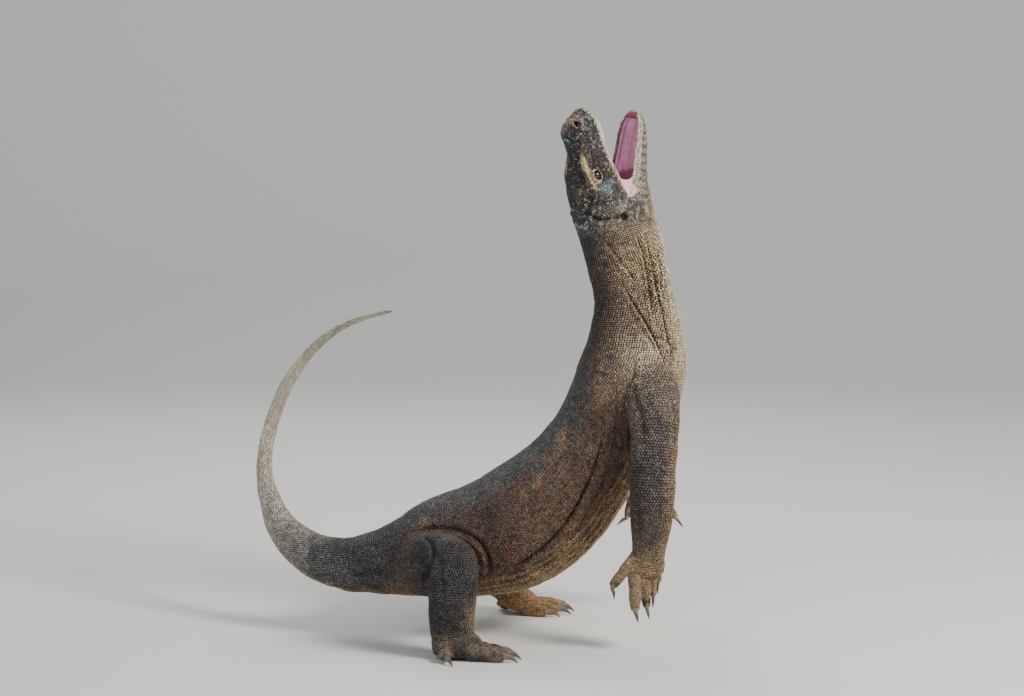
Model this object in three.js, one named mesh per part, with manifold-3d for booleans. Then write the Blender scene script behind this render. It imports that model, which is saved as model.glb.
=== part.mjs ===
// A life-size Komodo dragon, rearing up on its hind legs with its mouth open.
// Millimetres, +Z up. The animal faces +X, its left side is +Y, and it stands on z = 0.
//
// Every piece of flesh is a tube: a closed skin drawn round a bent spine, whose cross-section is set by
// rows of sizes. The tubes are then trimmed by their neighbours, so that all pieces meet with a thin gap.

import * as THREE from "three";
import { mergeVertices } from "three/addons/utils/BufferGeometryUtils.js";
import Module from "manifold-3d";

const wasm = await Module();
wasm.setup();

// ---------------------------------------------------------------- driving dimensions

const GAP = 0.3; // clearance between neighbouring pieces

const NECK_DEPTH = 84; // half depth of the neck, back to throat
const NECK_WIDTH = 58;
const CHEST_DEPTH = 114;
const CHEST_WIDTH = 104;
const BELLY_DEPTH = 130;
const BELLY_WIDTH = 124;

const EYE_RADIUS = 10;
const EYE_SPOT = [77, 46, 30]; // along, beside and above the axis of the head
const EAR_SPOT = [-18, 60, -12];
const NOSTRIL_SPOT = [193, 27, 44];

const HEAD_BASE = [190, 0, 900]; // centre of the back of the skull
const HEAD_LEAN = 10; // degrees that the skull leans back from upright
const HEAD_ROLL = 30; // degrees that its crown turns to the animal's right
const JAW_BASE = [9.4, 0, -38.3]; // where the two rows of lips meet, ahead, beside and above that
const JAW_OPEN = 22; // degrees between the two rows of lips

const FLOOR_CUT = 1200; // side of the block that trims the soles flat

const SKIN = {
  tail: "#6f675c",
  trunk: "#5c4a3e",
  neck: "#4b4642",
  head: "#3a3733",
  leg: "#3d3c3f",
  paw: "#6a5540",
};
const JAW_COLOUR = "#8f9490";
const MOUTH_COLOUR = "#d58a94";
const CLAW_COLOUR = "#2b2724";
const EYE_COLOUR = "#17110b";

// ---------------------------------------------------------------- tubes

// A row is one cross-section: where it is, its size above, below and beside the spine, the way that its left
// side turns about the vertical, and how square its upper and lower halves are (2 is an ellipse).
function row(at, top, under, wide, turn = 0, boxTop = 2.2, boxUnder = 2.2) {
  return [...at, top, under, wide, turn, boxTop, boxUnder];
}

function between(rows, t) {
  const last = rows.length - 1;
  const i = Math.max(0, Math.min(last - 1, Math.floor(t)));
  const f = t - i;
  const pick = (k) => rows[Math.max(0, Math.min(last, k))];
  const [a, b, c, d] = [pick(i - 1), pick(i), pick(i + 1), pick(i + 2)];
  return b.map((_, k) => {
    const slopeIn = (c[k] - a[k]) / 2;
    const slopeOut = (d[k] - b[k]) / 2;
    const cubic = 2 * b[k] - 2 * c[k] + slopeIn + slopeOut;
    const square = -3 * b[k] + 3 * c[k] - 2 * slopeIn - slopeOut;
    return ((cubic * f + square) * f + slopeIn) * f + b[k];
  });
}

function frameAt(rows, t) {
  const step = 0.02;
  const here = between(rows, t);
  const [before, after] = [between(rows, t - step), between(rows, t + step)];
  const ahead = new THREE.Vector3(...after).sub(new THREE.Vector3(...before)).normalize();
  const turn = THREE.MathUtils.degToRad(here[6]);
  const left = new THREE.Vector3(Math.sin(turn), Math.cos(turn), 0);
  left.addScaledVector(ahead, -left.dot(ahead)).normalize();
  const up = new THREE.Vector3().crossVectors(ahead, left);
  return { here, ahead, left, up, centre: new THREE.Vector3(here[0], here[1], here[2]) };
}

// A swell is a soft bump: how high, at which row and angle round the spine, and how far it spreads.
function swellAt(swells, t, angle) {
  return swells.reduce((sum, s) => {
    const off = Math.atan2(Math.sin(angle - s.angle), Math.cos(angle - s.angle));
    return sum + s.height * Math.exp(-(((t - s.at) / s.along) ** 2) - (off / s.round) ** 2);
  }, 0);
}

function tubeGeometry(rows, { rings, around, grow = 0, swells = [], from = 0, to = rows.length - 1 }) {
  const geometry = new THREE.CylinderGeometry(1, 1, 1, around, rings);
  const frames = [];
  for (let i = 0; i <= rings; i += 1) {
    frames.push(frameAt(rows, from + ((to - from) * i) / rings));
  }
  const spot = geometry.attributes.position;
  for (let v = 0; v < spot.count; v += 1) {
    const ring = Math.round((0.5 - spot.getY(v)) * rings);
    const { here, left, up, centre, ahead } = frames[ring];
    const [x, z] = [spot.getX(v), spot.getZ(v)];
    const point = centre.clone();
    if (Math.hypot(x, z) > 0.5) {
      const angle = Math.atan2(x, z);
      const bump = grow + swellAt(swells, from + ((to - from) * ring) / rings, angle);
      const box = 2 / (z > 0 ? here[7] : here[8]);
      const deep = (z > 0 ? here[3] : here[4]) + bump;
      const wide = here[5] + bump;
      point.addScaledVector(up, Math.sign(z) * deep * Math.abs(z) ** box);
      point.addScaledVector(left, Math.sign(x) * wide * Math.abs(x) ** box);
    }
    const end = ring === 0 ? -1 : ring === rings ? 1 : 0;
    point.addScaledVector(ahead, end * grow);
    spot.setXYZ(v, point.x, point.y, point.z);
  }
  return geometry;
}

function solid(geometry) {
  geometry.deleteAttribute("normal");
  geometry.deleteAttribute("uv");
  const merged = mergeVertices(geometry, 1e-3);
  const mesh = new wasm.Mesh({
    numProp: 3,
    vertProperties: new Float32Array(merged.attributes.position.array),
    triVerts: new Uint32Array(merged.index.array),
  });
  return new wasm.Manifold(mesh);
}

const tube = (rows, options) => solid(tubeGeometry(rows, options));

function ball([x, y, z], [rx, ry, rz], around, grow = 0) {
  const geometry = new THREE.SphereGeometry(1, around, Math.round(around * 0.6));
  geometry.scale(rx + grow, ry + grow, rz + grow);
  return solid(geometry.translate(x, y, z));
}

// ---------------------------------------------------------------- local frames

// A place is a local frame: x ahead, y left, z up. It has a base point, a direction and the turn of its left.
function place(base, ahead, turn) {
  const x = new THREE.Vector3(...ahead).normalize();
  const angle = THREE.MathUtils.degToRad(turn);
  const y = new THREE.Vector3(Math.sin(angle), Math.cos(angle), 0);
  y.addScaledVector(x, -y.dot(x)).normalize();
  const z = new THREE.Vector3().crossVectors(x, y);
  return new THREE.Matrix4().makeBasis(x, y, z).setPosition(...base);
}

const lean = THREE.MathUtils.degToRad(HEAD_LEAN);
const headPlace = place(HEAD_BASE, [-Math.sin(lean), 0, Math.cos(lean)], -HEAD_ROLL);
const open = THREE.MathUtils.degToRad(JAW_OPEN);
const jawHinge = new THREE.Matrix4().makeRotationY(open).setPosition(...JAW_BASE);
const jawPlace = headPlace.clone().multiply(jawHinge);

const moved = (manifold, matrix) => manifold.transform(matrix.toArray());

// ---------------------------------------------------------------- neck, trunk and tail

const spine = [
  row([-262, 262, 662], 3, 3, 2.5, 170),
  row([-338, 280, 640], 8, 7, 5, 168),
  row([-398, 290, 608], 12, 10, 7, 165),
  row([-455, 292, 555], 15, 13, 9, 160),
  row([-500, 278, 489], 17, 16, 11, 150),
  row([-525, 260, 425], 19, 18, 13, 135),
  row([-541, 225, 348], 23, 21, 16, 112),
  row([-532, 175, 280], 29, 27, 22, 85),
  row([-493, 105, 207], 40, 38, 30, 50),
  row([-425, 42, 162], 50, 46, 38, 20),
  row([-354, 10, 149], 58, 56, 50, 5),
  row([-290, 0, 154], 68, 66, 64),
  row([-225, 0, 166], 84, 84, 84),
  row([-150, 0, 186], 108, 106, 104),
  row([-72, 0, 203], 120, 120, 118),
  row([0, 0, 226], BELLY_DEPTH, 130, BELLY_WIDTH),
  row([72, 0, 276], 127, 131, 120),
  row([132, 0, 340], 115, 121, 112),
  row([182, 0, 412], 107, 112, CHEST_WIDTH),
  row([229, 0, 492], CHEST_DEPTH, 114, 100),
  row([255, 0, 580], 111, 112, 90, -3),
  row([259, 0, 657], 96, 96, 74, -6),
  row([252, 0, 730], 83, 84, 63, -10),
  row([238, 0, 800], 87, NECK_DEPTH, NECK_WIDTH, -18),
  row([221, 0, 862], 89, 86, NECK_WIDTH, -26),
];

// Each length of the body: its first and last row, and how finely it is drawn.
const lengths = {
  tail_tip: { from: 0, to: 4, rings: 7, around: 7 },
  tail_end: { from: 4, to: 7, rings: 6, around: 10 },
  tail_middle: { from: 7, to: 9.4, rings: 6, around: 12 },
  tail_base: { from: 9.4, to: 11.3, rings: 5, around: 14 },
  trunk_rear: { from: 11.3, to: 16, rings: 9, around: 20 },
  trunk_front: { from: 16, to: 20.4, rings: 8, around: 20 },
  neck: { from: 20.4, to: 24, rings: 7, around: 18 },
};

const SEAM = 0.004; // part of a row that a piece is cut short by at each end, for the gap

function bodyLength(name, grow = 0) {
  const { from, to, rings, around } = lengths[name];
  return tube(spine, { from: from + SEAM, to: to - SEAM, rings, around, grow });
}

const trunkGrown = tube(spine, {
  from: lengths.trunk_rear.from,
  to: lengths.trunk_front.to,
  rings: lengths.trunk_rear.rings + lengths.trunk_front.rings,
  around: lengths.trunk_rear.around,
  grow: GAP,
});
const neckGrown = bodyLength("neck", GAP);

// Everything behind the plane where the neck ends, so that the head and the jaw start flush on it.
const neckEnd = frameAt(spine, lengths.neck.to - SEAM);
const neckFrame = new THREE.Matrix4().makeBasis(neckEnd.ahead, neckEnd.left, neckEnd.up);
neckFrame.setPosition(neckEnd.centre);
const behindHead = moved(solid(new THREE.BoxGeometry(200, 400, 400).translate(GAP - 100, 0, 0)), neckFrame);

// ---------------------------------------------------------------- head

const skull = [
  row([-72, 0, -22], 81, 86, 59, 0, 2.2, 2.2),
  row([-20, 0, -18], 83, 78, 61, 0, 2.4, 2.4),
  row([5, 0, -14], 80, 52, 61, 0, 2.6, 2.6),
  row([30, 0, -10], 78, 28, 60, 0, 2.8, 3.2),
  row([57, 0, -8], 77, 20, 57, 0, 2.8, 3.6),
  row([86, 0, -4], 71, 17, 52, 0, 2.8, 4),
  row([114, 0, 0], 58, 15, 46, 0, 2.8, 4),
  row([141, 0, 3], 51, 14, 42, 0, 2.8, 4),
  row([166, 0, 5], 59, 16, 40, 0, 2.6, 3.6),
  row([187, 0, 8], 58, 17, 37, 0, 2.4, 3),
  row([201, 0, 12], 51, 15, 31, 0, 2.3, 2.4),
  row([210, 0, 16], 38, 12, 22, 0, 2.2, 2.2),
  row([215, 0, 19], 22, 9, 13, 0, 2, 2),
];

const jaw = [
  row([-78, 0, 0], 20, 97, 54, 0, 2.6, 2.4),
  row([-20, 0, 0], 14, 87, 55, 0, 3, 2.4),
  row([12, 0, 0], 6, 74, 54, 0, 4, 2.4),
  row([36, 0, 0], 4, 62, 52, 0, 5, 2.5),
  row([60, 0, 0], 4, 51, 50, 0, 5, 2.6),
  row([84, 0, 0], 4, 45, 48, 0, 5, 2.6),
  row([109, 0, 0], 4, 42, 46, 0, 5, 2.6),
  row([133, 0, 0], 4, 37, 45, 0, 5, 2.6),
  row([153, 0, 0], 4, 32, 43, 0, 5, 2.5),
  row([173, 0, 0], 4, 25, 38, 0, 4, 2.3),
  row([188, 0, 0], 4, 17, 28, 0, 3, 2.2),
  row([197, 0, 0], 3, 7, 13, 0, 2, 2),
];

const LIP = 7; // width of the rim round the mouth
const FLOOR_DEPTH = 16; // how far the floor of the mouth lies below the lower lips
const PALATE_DEPTH = 13;
const LINING = 5; // thickness of the pink lining

// A scoop along the lower jaw, from the level of the lips down, and one along the upper jaw, from the lips
// up. Back is how far it is shifted towards the throat, and short is the part of a row cut off each end.
function trough({ top, under, inset, back, short = 0 }) {
  const rows = jaw
    .slice(2, 11)
    .map((r) => row([r[0] - back, 0, 0], top, under, r[5] - LIP - inset, 0, 4, 2.3));
  return moved(tube(rows, { rings: 6, around: 8, from: short, to: rows.length - 1 - short }), jawPlace);
}

function vault({ top, under, inset, back, short = 0 }) {
  const rows = skull
    .slice(3, 11)
    .map((r) => row([r[0] - back, 0, r[2] - r[4]], top, under, r[5] - LIP - inset, 0, 2.3, 4));
  return moved(tube(rows, { rings: 5, around: 8, from: short, to: rows.length - 1 - short }), headPlace);
}

// A web of skin spans each corner of the mouth, between the lips. Its front edge is hollow.
const webOutline = new THREE.Shape();
webOutline.moveTo(-12, -6);
webOutline.lineTo(46, 14);
webOutline.quadraticCurveTo(26, -2, 40, -20);
webOutline.closePath();
const WEB_WIDTH = 4;
const WEB_SPOT = [14, 48, -37];

function web(side) {
  const shape = { depth: WEB_WIDTH, bevelEnabled: false, curveSegments: 6 };
  const geometry = new THREE.ExtrudeGeometry(webOutline, shape);
  geometry.rotateX(Math.PI / 2);
  geometry.translate(WEB_SPOT[0], side * WEB_SPOT[1] + WEB_WIDTH / 2, WEB_SPOT[2]);
  return moved(solid(geometry), headPlace);
}

const pair = (spot, make) => [-1, 1].map((side) => make([spot[0], side * spot[1], spot[2]]));
const eyeSize = [EYE_RADIUS, EYE_RADIUS, EYE_RADIUS];
const eyeball = (grow) => (spot) => moved(ball(spot, eyeSize, 9, grow), headPlace);
const earHole = (spot) => moved(ball(spot, [7, 8, 14], 6), headPlace);
const nostril = (spot) => moved(ball(spot, [7, 6, 5], 6), headPlace);

function skullShape(grow) {
  return moved(tube(skull, { rings: 13, around: 16, grow }), headPlace);
}

function jawShape(grow) {
  return moved(tube(jaw, { rings: 11, around: 12, grow }), jawPlace);
}

const jawCut = trough({ top: 14, under: FLOOR_DEPTH, inset: 0, back: 4 });
const palateCut = vault({ top: PALATE_DEPTH, under: 14, inset: 0, back: 5 });

function makeHead() {
  const cuts = [
    ...pair(EYE_SPOT, eyeball(GAP)),
    ...pair(EAR_SPOT, earHole),
    ...pair(NOSTRIL_SPOT, nostril),
    palateCut,
  ];
  return cuts.reduce((shape, cut) => shape.subtract(cut), skullShape(0).subtract(behindHead));
}

function makeJaw() {
  return jawShape(0).subtract(jawCut).subtract(skullShape(GAP)).subtract(behindHead);
}

function makeMouthFloor() {
  const outer = trough({ top: 1, under: FLOOR_DEPTH - 2 * GAP, inset: 2 * GAP, back: 4, short: 0.03 });
  const inner = trough({ top: 15, under: FLOOR_DEPTH - LINING, inset: 3, back: 9 });
  return outer.subtract(inner).subtract(skullShape(GAP));
}

function makePalate() {
  const outer = vault({ top: PALATE_DEPTH - 2 * GAP, under: 1, inset: 2 * GAP, back: 5, short: 0.03 });
  const inner = vault({ top: PALATE_DEPTH - LINING, under: 15, inset: 3, back: 10 });
  return outer.subtract(inner).subtract(jawShape(GAP));
}

function makeWeb(side) {
  const linings = [
    trough({ top: 3, under: FLOOR_DEPTH, inset: 0, back: 4 }),
    vault({ top: PALATE_DEPTH, under: 3, inset: 0, back: 5 }),
  ];
  return [skullShape(GAP), jawShape(GAP), ...linings].reduce((shape, cut) => shape.subtract(cut), web(side));
}

// ---------------------------------------------------------------- legs

const arms = {
  right: [
    row([280, -45, 572], 44, 44, 38),
    row([289, -78, 535], 56, 54, 44),
    row([294, -112, 480], 52, 52, 44),
    row([292, -132, 430], 50, 49, 42),
    row([289, -146, 385], 48, 46, 42),
    row([287, -152, 345], 49, 46, 41),
    row([285, -155, 300], 47, 44, 38),
    row([283, -157, 250], 41, 40, 33),
    row([281, -158, 205], 34, 35, 28),
    row([279, -159, 186], 37, 38, 25),
    row([277, -160, 170], 36, 38, 22),
    row([276, -160, 160], 26, 28, 14),
  ],
  left: [
    row([280, 45, 572], 44, 44, 38),
    row([288, 78, 535], 54, 54, 44),
    row([288, 112, 490], 52, 52, 44),
    row([281, 138, 450], 49, 49, 42),
    row([276, 158, 412], 46, 46, 42),
    row([277, 170, 380], 45, 45, 41),
    row([283, 180, 348], 42, 42, 38),
    row([292, 188, 318], 38, 38, 33),
    row([300, 194, 292], 34, 34, 28),
    row([305, 197, 274], 36, 36, 24),
    row([308, 199, 262], 34, 35, 20),
    row([309, 200, 254], 24, 24, 12),
  ],
};
const ELBOW = 4.6; // rows of an arm where the elbow and the wrist part it
const WRIST = 8.2;

const thighs = {
  right: [
    row([-168, -30, 160], 78, 70, 80, 90),
    row([-166, -90, 164], 76, 64, 74, 90),
    row([-146, -148, 182], 64, 58, 64, 90),
    row([-122, -188, 198], 46, 46, 50, 90),
    row([-110, -210, 204], 22, 22, 26, 90),
  ],
  left: [
    row([-168, 30, 160], 78, 70, 80, -90),
    row([-166, 90, 164], 76, 64, 74, -90),
    row([-152, 140, 182], 64, 58, 64, -90),
    row([-132, 178, 196], 46, 46, 50, -90),
    row([-122, 200, 200], 22, 22, 26, -90),
  ],
};

const shins = {
  right: [
    row([-113, -196, 240], 18, 18, 16),
    row([-115, -198, 224], 38, 38, 34),
    row([-117, -200, 185], 50, 50, 46),
    row([-121, -205, 135], 50, 50, 46),
    row([-123, -208, 85], 49, 49, 42),
    row([-121, -210, 48], 46, 46, 38),
    row([-118, -212, 24], 36, 42, 34),
  ],
  left: [
    row([-132, 186, 226], 20, 20, 18),
    row([-123, 187, 208], 40, 40, 36),
    row([-100, 190, 172], 50, 50, 46),
    row([-66, 194, 124], 46, 48, 44),
    row([-34, 198, 82], 42, 42, 40),
    row([-10, 200, 50], 30, 30, 34),
  ],
};

const feet = {
  right: [
    row([-162, -212, 22], 14, 16, 20),
    row([-142, -212, 26], 26, 28, 36),
    row([-108, -214, 28], 32, 30, 42),
    row([-80, -215, 23], 26, 25, 42),
    row([-64, -216, 17], 14, 18, 36),
  ],
  left: [
    row([-34, 200, 56], 18, 20, 22),
    row([-14, 201, 50], 32, 30, 36),
    row([14, 203, 36], 29, 32, 40),
    row([40, 205, 24], 22, 24, 40),
    row([56, 206, 17], 12, 18, 34),
  ],
};

const armPart = (side, from, to, rings, grow = 0) =>
  tube(arms[side], { from: from + SEAM, to: to - SEAM, rings, around: 12, grow });
const thigh = (side, grow) => tube(thighs[side], { rings: 5, around: 12, grow });
const shin = (side, grow) => tube(shins[side], { rings: 6, around: 12, grow });
const footPalm = (side) => tube(feet[side], { rings: 4, around: 11 });

// Digits 1 to 5 of a paw, in the paw's own frame (x ahead, y towards digit 1): where each starts, the
// angle it spreads at, its length, its thickness, the angle of its claw, and how far its end is lifted.
const fingers = [
  { at: [-26, 22], spread: 6, length: 36, thick: 10, claw: 0, lift: -30 },
  { at: [-27, 10], spread: 5, length: 64, thick: 10.5, claw: 0, lift: -20 },
  { at: [-28, -6], spread: 5, length: 86, thick: 11.5, claw: 10, lift: -4 },
  { at: [-28, -26], spread: 2, length: 90, thick: 13.5, claw: 12, lift: 9 },
  { at: [-46, -28], spread: -36, length: 72, thick: 12, claw: 2, lift: 6 },
];
const wideFingers = [
  { at: [-8, 18], spread: 28, length: 58, thick: 10, claw: 32, lift: 0 },
  { at: [-12, 10], spread: 14, length: 58, thick: 10, claw: 10, lift: 0 },
  { at: [-12, -4], spread: 2, length: 60, thick: 10.5, claw: 0, lift: 0 },
  { at: [-14, -20], spread: -9, length: 62, thick: 10.5, claw: -12, lift: 0 },
  { at: [-26, -40], spread: -19, length: 62, thick: 10.5, claw: -54, lift: 0 },
];
const toes = [
  { at: [-26, 30], spread: 16, length: 46, thick: 10, claw: 8, lift: 0 },
  { at: [-20, 12], spread: 6, length: 64, thick: 11, claw: 2, lift: 0 },
  { at: [-18, -8], spread: -3, length: 71, thick: 12, claw: -4, lift: 0 },
  { at: [-20, -29], spread: -10, length: 67, thick: 12.5, claw: -8, lift: 0 },
  { at: [-74, -28], spread: -84, length: 25, thick: 11.5, claw: -66, lift: 0 },
];

const paws = {
  hand_right: {
    base: [276, -160, 150],
    ahead: [0, 0, -1],
    turn: 90,
    side: 1,
    digits: fingers,
    claw: 33,
    rise: 0,
  },
  hand_left: {
    base: [308, 200, 253],
    ahead: [0.1, -0.1, -1],
    turn: -90,
    side: -1,
    digits: wideFingers,
    claw: 31,
    rise: 0,
  },
  foot_right: { base: [-62, -216, 0], ahead: [1, 0, 0], turn: 0, side: 1, digits: toes, claw: 33, rise: 14 },
  foot_left: { base: [57, 206, 0], ahead: [1, 0.05, 0], turn: 0, side: -1, digits: toes, claw: 33, rise: 14 },
};

const ARCH = 5; // how far the knuckles stand up
const DIGIT_END = 0.7; // thickness at the end of a digit, as a share of its thickest
const CLAW_ROOT = 0.68;
const CLAW_SLIM = 0.62; // width of a claw as a share of its height
const CLAW_BEND = 22;
const CLAW_SUNK = 5; // how deep a claw's root sits in its digit

function digitRows({ at, spread, length, thick, lift }, side, rise) {
  const angle = THREE.MathUtils.degToRad(spread * side);
  const stop = (reach, up, size) => {
    const under = rise > 0 ? rise + up + 1 : size;
    const level = rise + up + lift * (0.45 + (0.55 * reach) / length);
    const centre = [at[0] + reach * Math.cos(angle), at[1] * side + reach * Math.sin(angle), level];
    return row(centre, size, under, size * 1.05);
  };
  return [
    stop(-10, 0, thick * 0.9),
    stop(length * 0.35, ARCH, thick),
    stop(length * 0.7, ARCH * 0.6, thick * 0.9),
    stop(length, -2, thick * DIGIT_END),
  ];
}

function clawRows({ at, spread, length, thick, claw, lift }, side, rise, reach) {
  const digitAngle = THREE.MathUtils.degToRad(spread * side);
  const clawAngle = THREE.MathUtils.degToRad(claw * side);
  const start = length - CLAW_SUNK;
  const root = [at[0] + start * Math.cos(digitAngle), at[1] * side + start * Math.sin(digitAngle)];
  const drop = rise > 0 ? rise - 2.4 : reach * 0.3;
  const stop = (share, size) => {
    const angle = digitAngle + (clawAngle - digitAngle) * Math.min(1, share * 2);
    const [x, y] = [root[0] + reach * share * Math.cos(angle), root[1] + reach * share * Math.sin(angle)];
    const level = rise + lift - 2 + CLAW_BEND * share * (1 - share) - drop * share;
    return row([x, y, level], size, size, size * CLAW_SLIM);
  };
  return [stop(0, thick * CLAW_ROOT), stop(0.3, thick * 0.6), stop(0.65, thick * 0.38), stop(1, 1.2)];
}

// ---------------------------------------------------------------- output

const dragon = new THREE.Group();

function add(name, manifold, colour, roughness = 0.75) {
  const { numProp, vertProperties, triVerts } = manifold.getMesh();
  const position = new Float32Array((vertProperties.length / numProp) * 3);
  for (let v = 0; v < position.length / 3; v += 1) {
    position.set(vertProperties.subarray(v * numProp, v * numProp + 3), v * 3);
  }
  const geometry = new THREE.BufferGeometry();
  geometry.setAttribute("position", new THREE.BufferAttribute(position, 3));
  geometry.setIndex(new THREE.BufferAttribute(new Uint32Array(triVerts), 1));
  geometry.computeVertexNormals();
  const material = new THREE.MeshStandardMaterial({ color: colour, roughness, metalness: 0 });
  const mesh = new THREE.Mesh(geometry, material);
  mesh.name = name;
  dragon.add(mesh);
}

for (const name of Object.keys(lengths)) {
  const [region] = name.split("_");
  add(name, bodyLength(name), SKIN[region]);
}
add("head", makeHead(), SKIN.head);
add("lower_jaw", makeJaw(), JAW_COLOUR);
add("mouth_floor", makeMouthFloor(), MOUTH_COLOUR);
add("palate", makePalate(), MOUTH_COLOUR);
pair(EYE_SPOT, eyeball(0)).forEach((eye, i) => add(["eye_right", "eye_left"][i], eye, EYE_COLOUR, 0.1));

add("mouth_corner_right", makeWeb(-1), MOUTH_COLOUR);
add("mouth_corner_left", makeWeb(1), MOUTH_COLOUR);

const ground = solid(new THREE.BoxGeometry(FLOOR_CUT, FLOOR_CUT, 100).translate(0, 0, -50));

for (const [name, paw] of Object.entries(paws)) {
  const [kind, side] = name.split("_");
  const frame = place(paw.base, paw.ahead, paw.turn);
  const makeDigit = (digit) =>
    moved(tube(digitRows(digit, paw.side, paw.rise), { rings: 3, around: 6 }), frame);
  const makeClaw = (digit, grow) =>
    moved(tube(clawRows(digit, paw.side, paw.rise, paw.claw), { rings: 3, around: 5, grow }), frame);
  const palm = kind === "hand" ? armPart(side, WRIST, arms[side].length - 1, 3) : footPalm(side);
  const limb = kind === "hand" ? armPart(side, ELBOW, WRIST, 4, GAP) : shin(side, GAP);
  let flesh = paw.digits.reduce((sum, digit) => sum.add(makeDigit(digit)), palm);
  flesh = paw.digits.reduce((rest, digit) => rest.subtract(makeClaw(digit, GAP)), flesh);
  add(name, flesh.subtract(ground).subtract(limb), SKIN.paw);
  paw.digits.forEach((digit, i) => {
    add(`claw_${name}_${i + 1}`, makeClaw(digit, 0).subtract(ground), CLAW_COLOUR, 0.35);
  });
}

for (const side of ["right", "left"]) {
  add(`upper_arm_${side}`, armPart(side, 0, ELBOW, 5).subtract(trunkGrown).subtract(neckGrown), SKIN.leg);
  add(`forearm_${side}`, armPart(side, ELBOW, WRIST, 4), SKIN.leg);
  add(`thigh_${side}`, thigh(side, 0).subtract(trunkGrown), SKIN.leg);
  add(`shin_${side}`, shin(side, 0).subtract(thigh(side, GAP)), SKIN.leg);
}

// The origin is under the middle of the model: half of its length and width, at its lowest point.
const box = new THREE.Box3().setFromObject(dragon);
const middle = box.getCenter(new THREE.Vector3());
dragon.children.forEach((mesh) => mesh.geometry.translate(-middle.x, -middle.y, -box.min.z));

export default dragon;
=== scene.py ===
import math

import bmesh
import bpy
import numpy as np
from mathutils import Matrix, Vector
from mathutils.bvhtree import BVHTree
from mathutils.kdtree import KDTree


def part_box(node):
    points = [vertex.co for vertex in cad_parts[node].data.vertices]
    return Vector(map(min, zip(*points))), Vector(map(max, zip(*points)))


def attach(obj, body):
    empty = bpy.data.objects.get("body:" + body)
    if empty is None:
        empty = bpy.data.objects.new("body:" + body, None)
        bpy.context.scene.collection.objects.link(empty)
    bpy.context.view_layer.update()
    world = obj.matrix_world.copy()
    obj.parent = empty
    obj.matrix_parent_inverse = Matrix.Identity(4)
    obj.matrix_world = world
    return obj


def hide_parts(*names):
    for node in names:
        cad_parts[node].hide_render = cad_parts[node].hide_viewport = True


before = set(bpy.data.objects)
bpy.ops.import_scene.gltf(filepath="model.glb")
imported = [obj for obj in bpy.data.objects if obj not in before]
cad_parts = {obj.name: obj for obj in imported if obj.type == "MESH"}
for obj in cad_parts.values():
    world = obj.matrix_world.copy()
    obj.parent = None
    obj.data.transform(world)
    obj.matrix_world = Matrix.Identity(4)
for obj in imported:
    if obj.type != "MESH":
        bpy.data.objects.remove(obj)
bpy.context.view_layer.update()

# A life-size Komodo dragon, rearing up with its mouth open. Sizes here are millimetres in the anatomy
# frame: x ahead, y to the animal's left, z up, with the floor at 0. Meshes are shifted into the row frame
# and scaled to metres when they are made.

MM = 0.001

# ------------------------------------------------------------------ rows of sizes, as in the solids

# The rows of the spine were first fitted to measured outlines by a scratch program and then adjusted by
# hand, so some of their numbers are that program's.

def row(at, top, under, wide, turn=0, box_top=2.2, box_under=2.2):
    return [*at, top, under, wide, turn, box_top, box_under]


SPINE = np.array([
    row((-262, 262, 662), 3, 3, 2.5, 170),
    row((-338, 280, 640), 8, 7, 5, 168),
    row((-398, 290, 608), 12, 10, 7, 165),
    row((-455, 292, 555), 15, 13, 9, 160),
    row((-500, 278, 489), 17, 16, 11, 150),
    row((-525, 260, 425), 19, 18, 13, 135),
    row((-541, 225, 348), 23, 21, 16, 112),
    row((-532, 175, 280), 29, 27, 22, 85),
    row((-493, 105, 207), 40, 38, 30, 50),
    row((-425, 42, 162), 50, 46, 38, 20),
    row((-354, 10, 149), 58, 56, 50, 5),
    row((-290, 0, 154), 68, 66, 64),
    row((-225, 0, 166), 84, 84, 84),
    row((-150, 0, 186), 108, 106, 104),
    row((-72, 0, 203), 120, 120, 118),
    row((0, 0, 226), 130, 130, 124),
    row((72, 0, 276), 127, 131, 120),
    row((132, 0, 340), 115, 121, 112),
    row((182, 0, 412), 107, 112, 104),
    row((229, 0, 492), 114, 114, 100),
    row((255, 0, 580), 111, 112, 90, -3),
    row((259, 0, 657), 96, 96, 74, -6),
    row((252, 0, 730), 83, 84, 63, -10),
    row((238, 0, 800), 87, 84, 58, -18),
    row((221, 0, 862), 89, 86, 58, -26),
])
SKULL = np.array([
    row((-72, 0, -22), 81, 86, 59, 0, 2.2, 2.2),
    row((-20, 0, -18), 83, 78, 61, 0, 2.4, 2.4),
    row((5, 0, -14), 80, 52, 61, 0, 2.6, 2.6),
    row((30, 0, -10), 78, 28, 60, 0, 2.8, 3.2),
    row((57, 0, -8), 77, 20, 57, 0, 2.8, 3.6),
    row((86, 0, -4), 71, 17, 52, 0, 2.8, 4),
    row((114, 0, 0), 58, 15, 46, 0, 2.8, 4),
    row((141, 0, 3), 51, 14, 42, 0, 2.8, 4),
    row((166, 0, 5), 59, 16, 40, 0, 2.6, 3.6),
    row((187, 0, 8), 58, 17, 37, 0, 2.4, 3),
    row((201, 0, 12), 51, 15, 31, 0, 2.3, 2.4),
    row((210, 0, 16), 38, 12, 22, 0, 2.2, 2.2),
    row((215, 0, 19), 22, 9, 13, 0, 2, 2),
])
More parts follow.
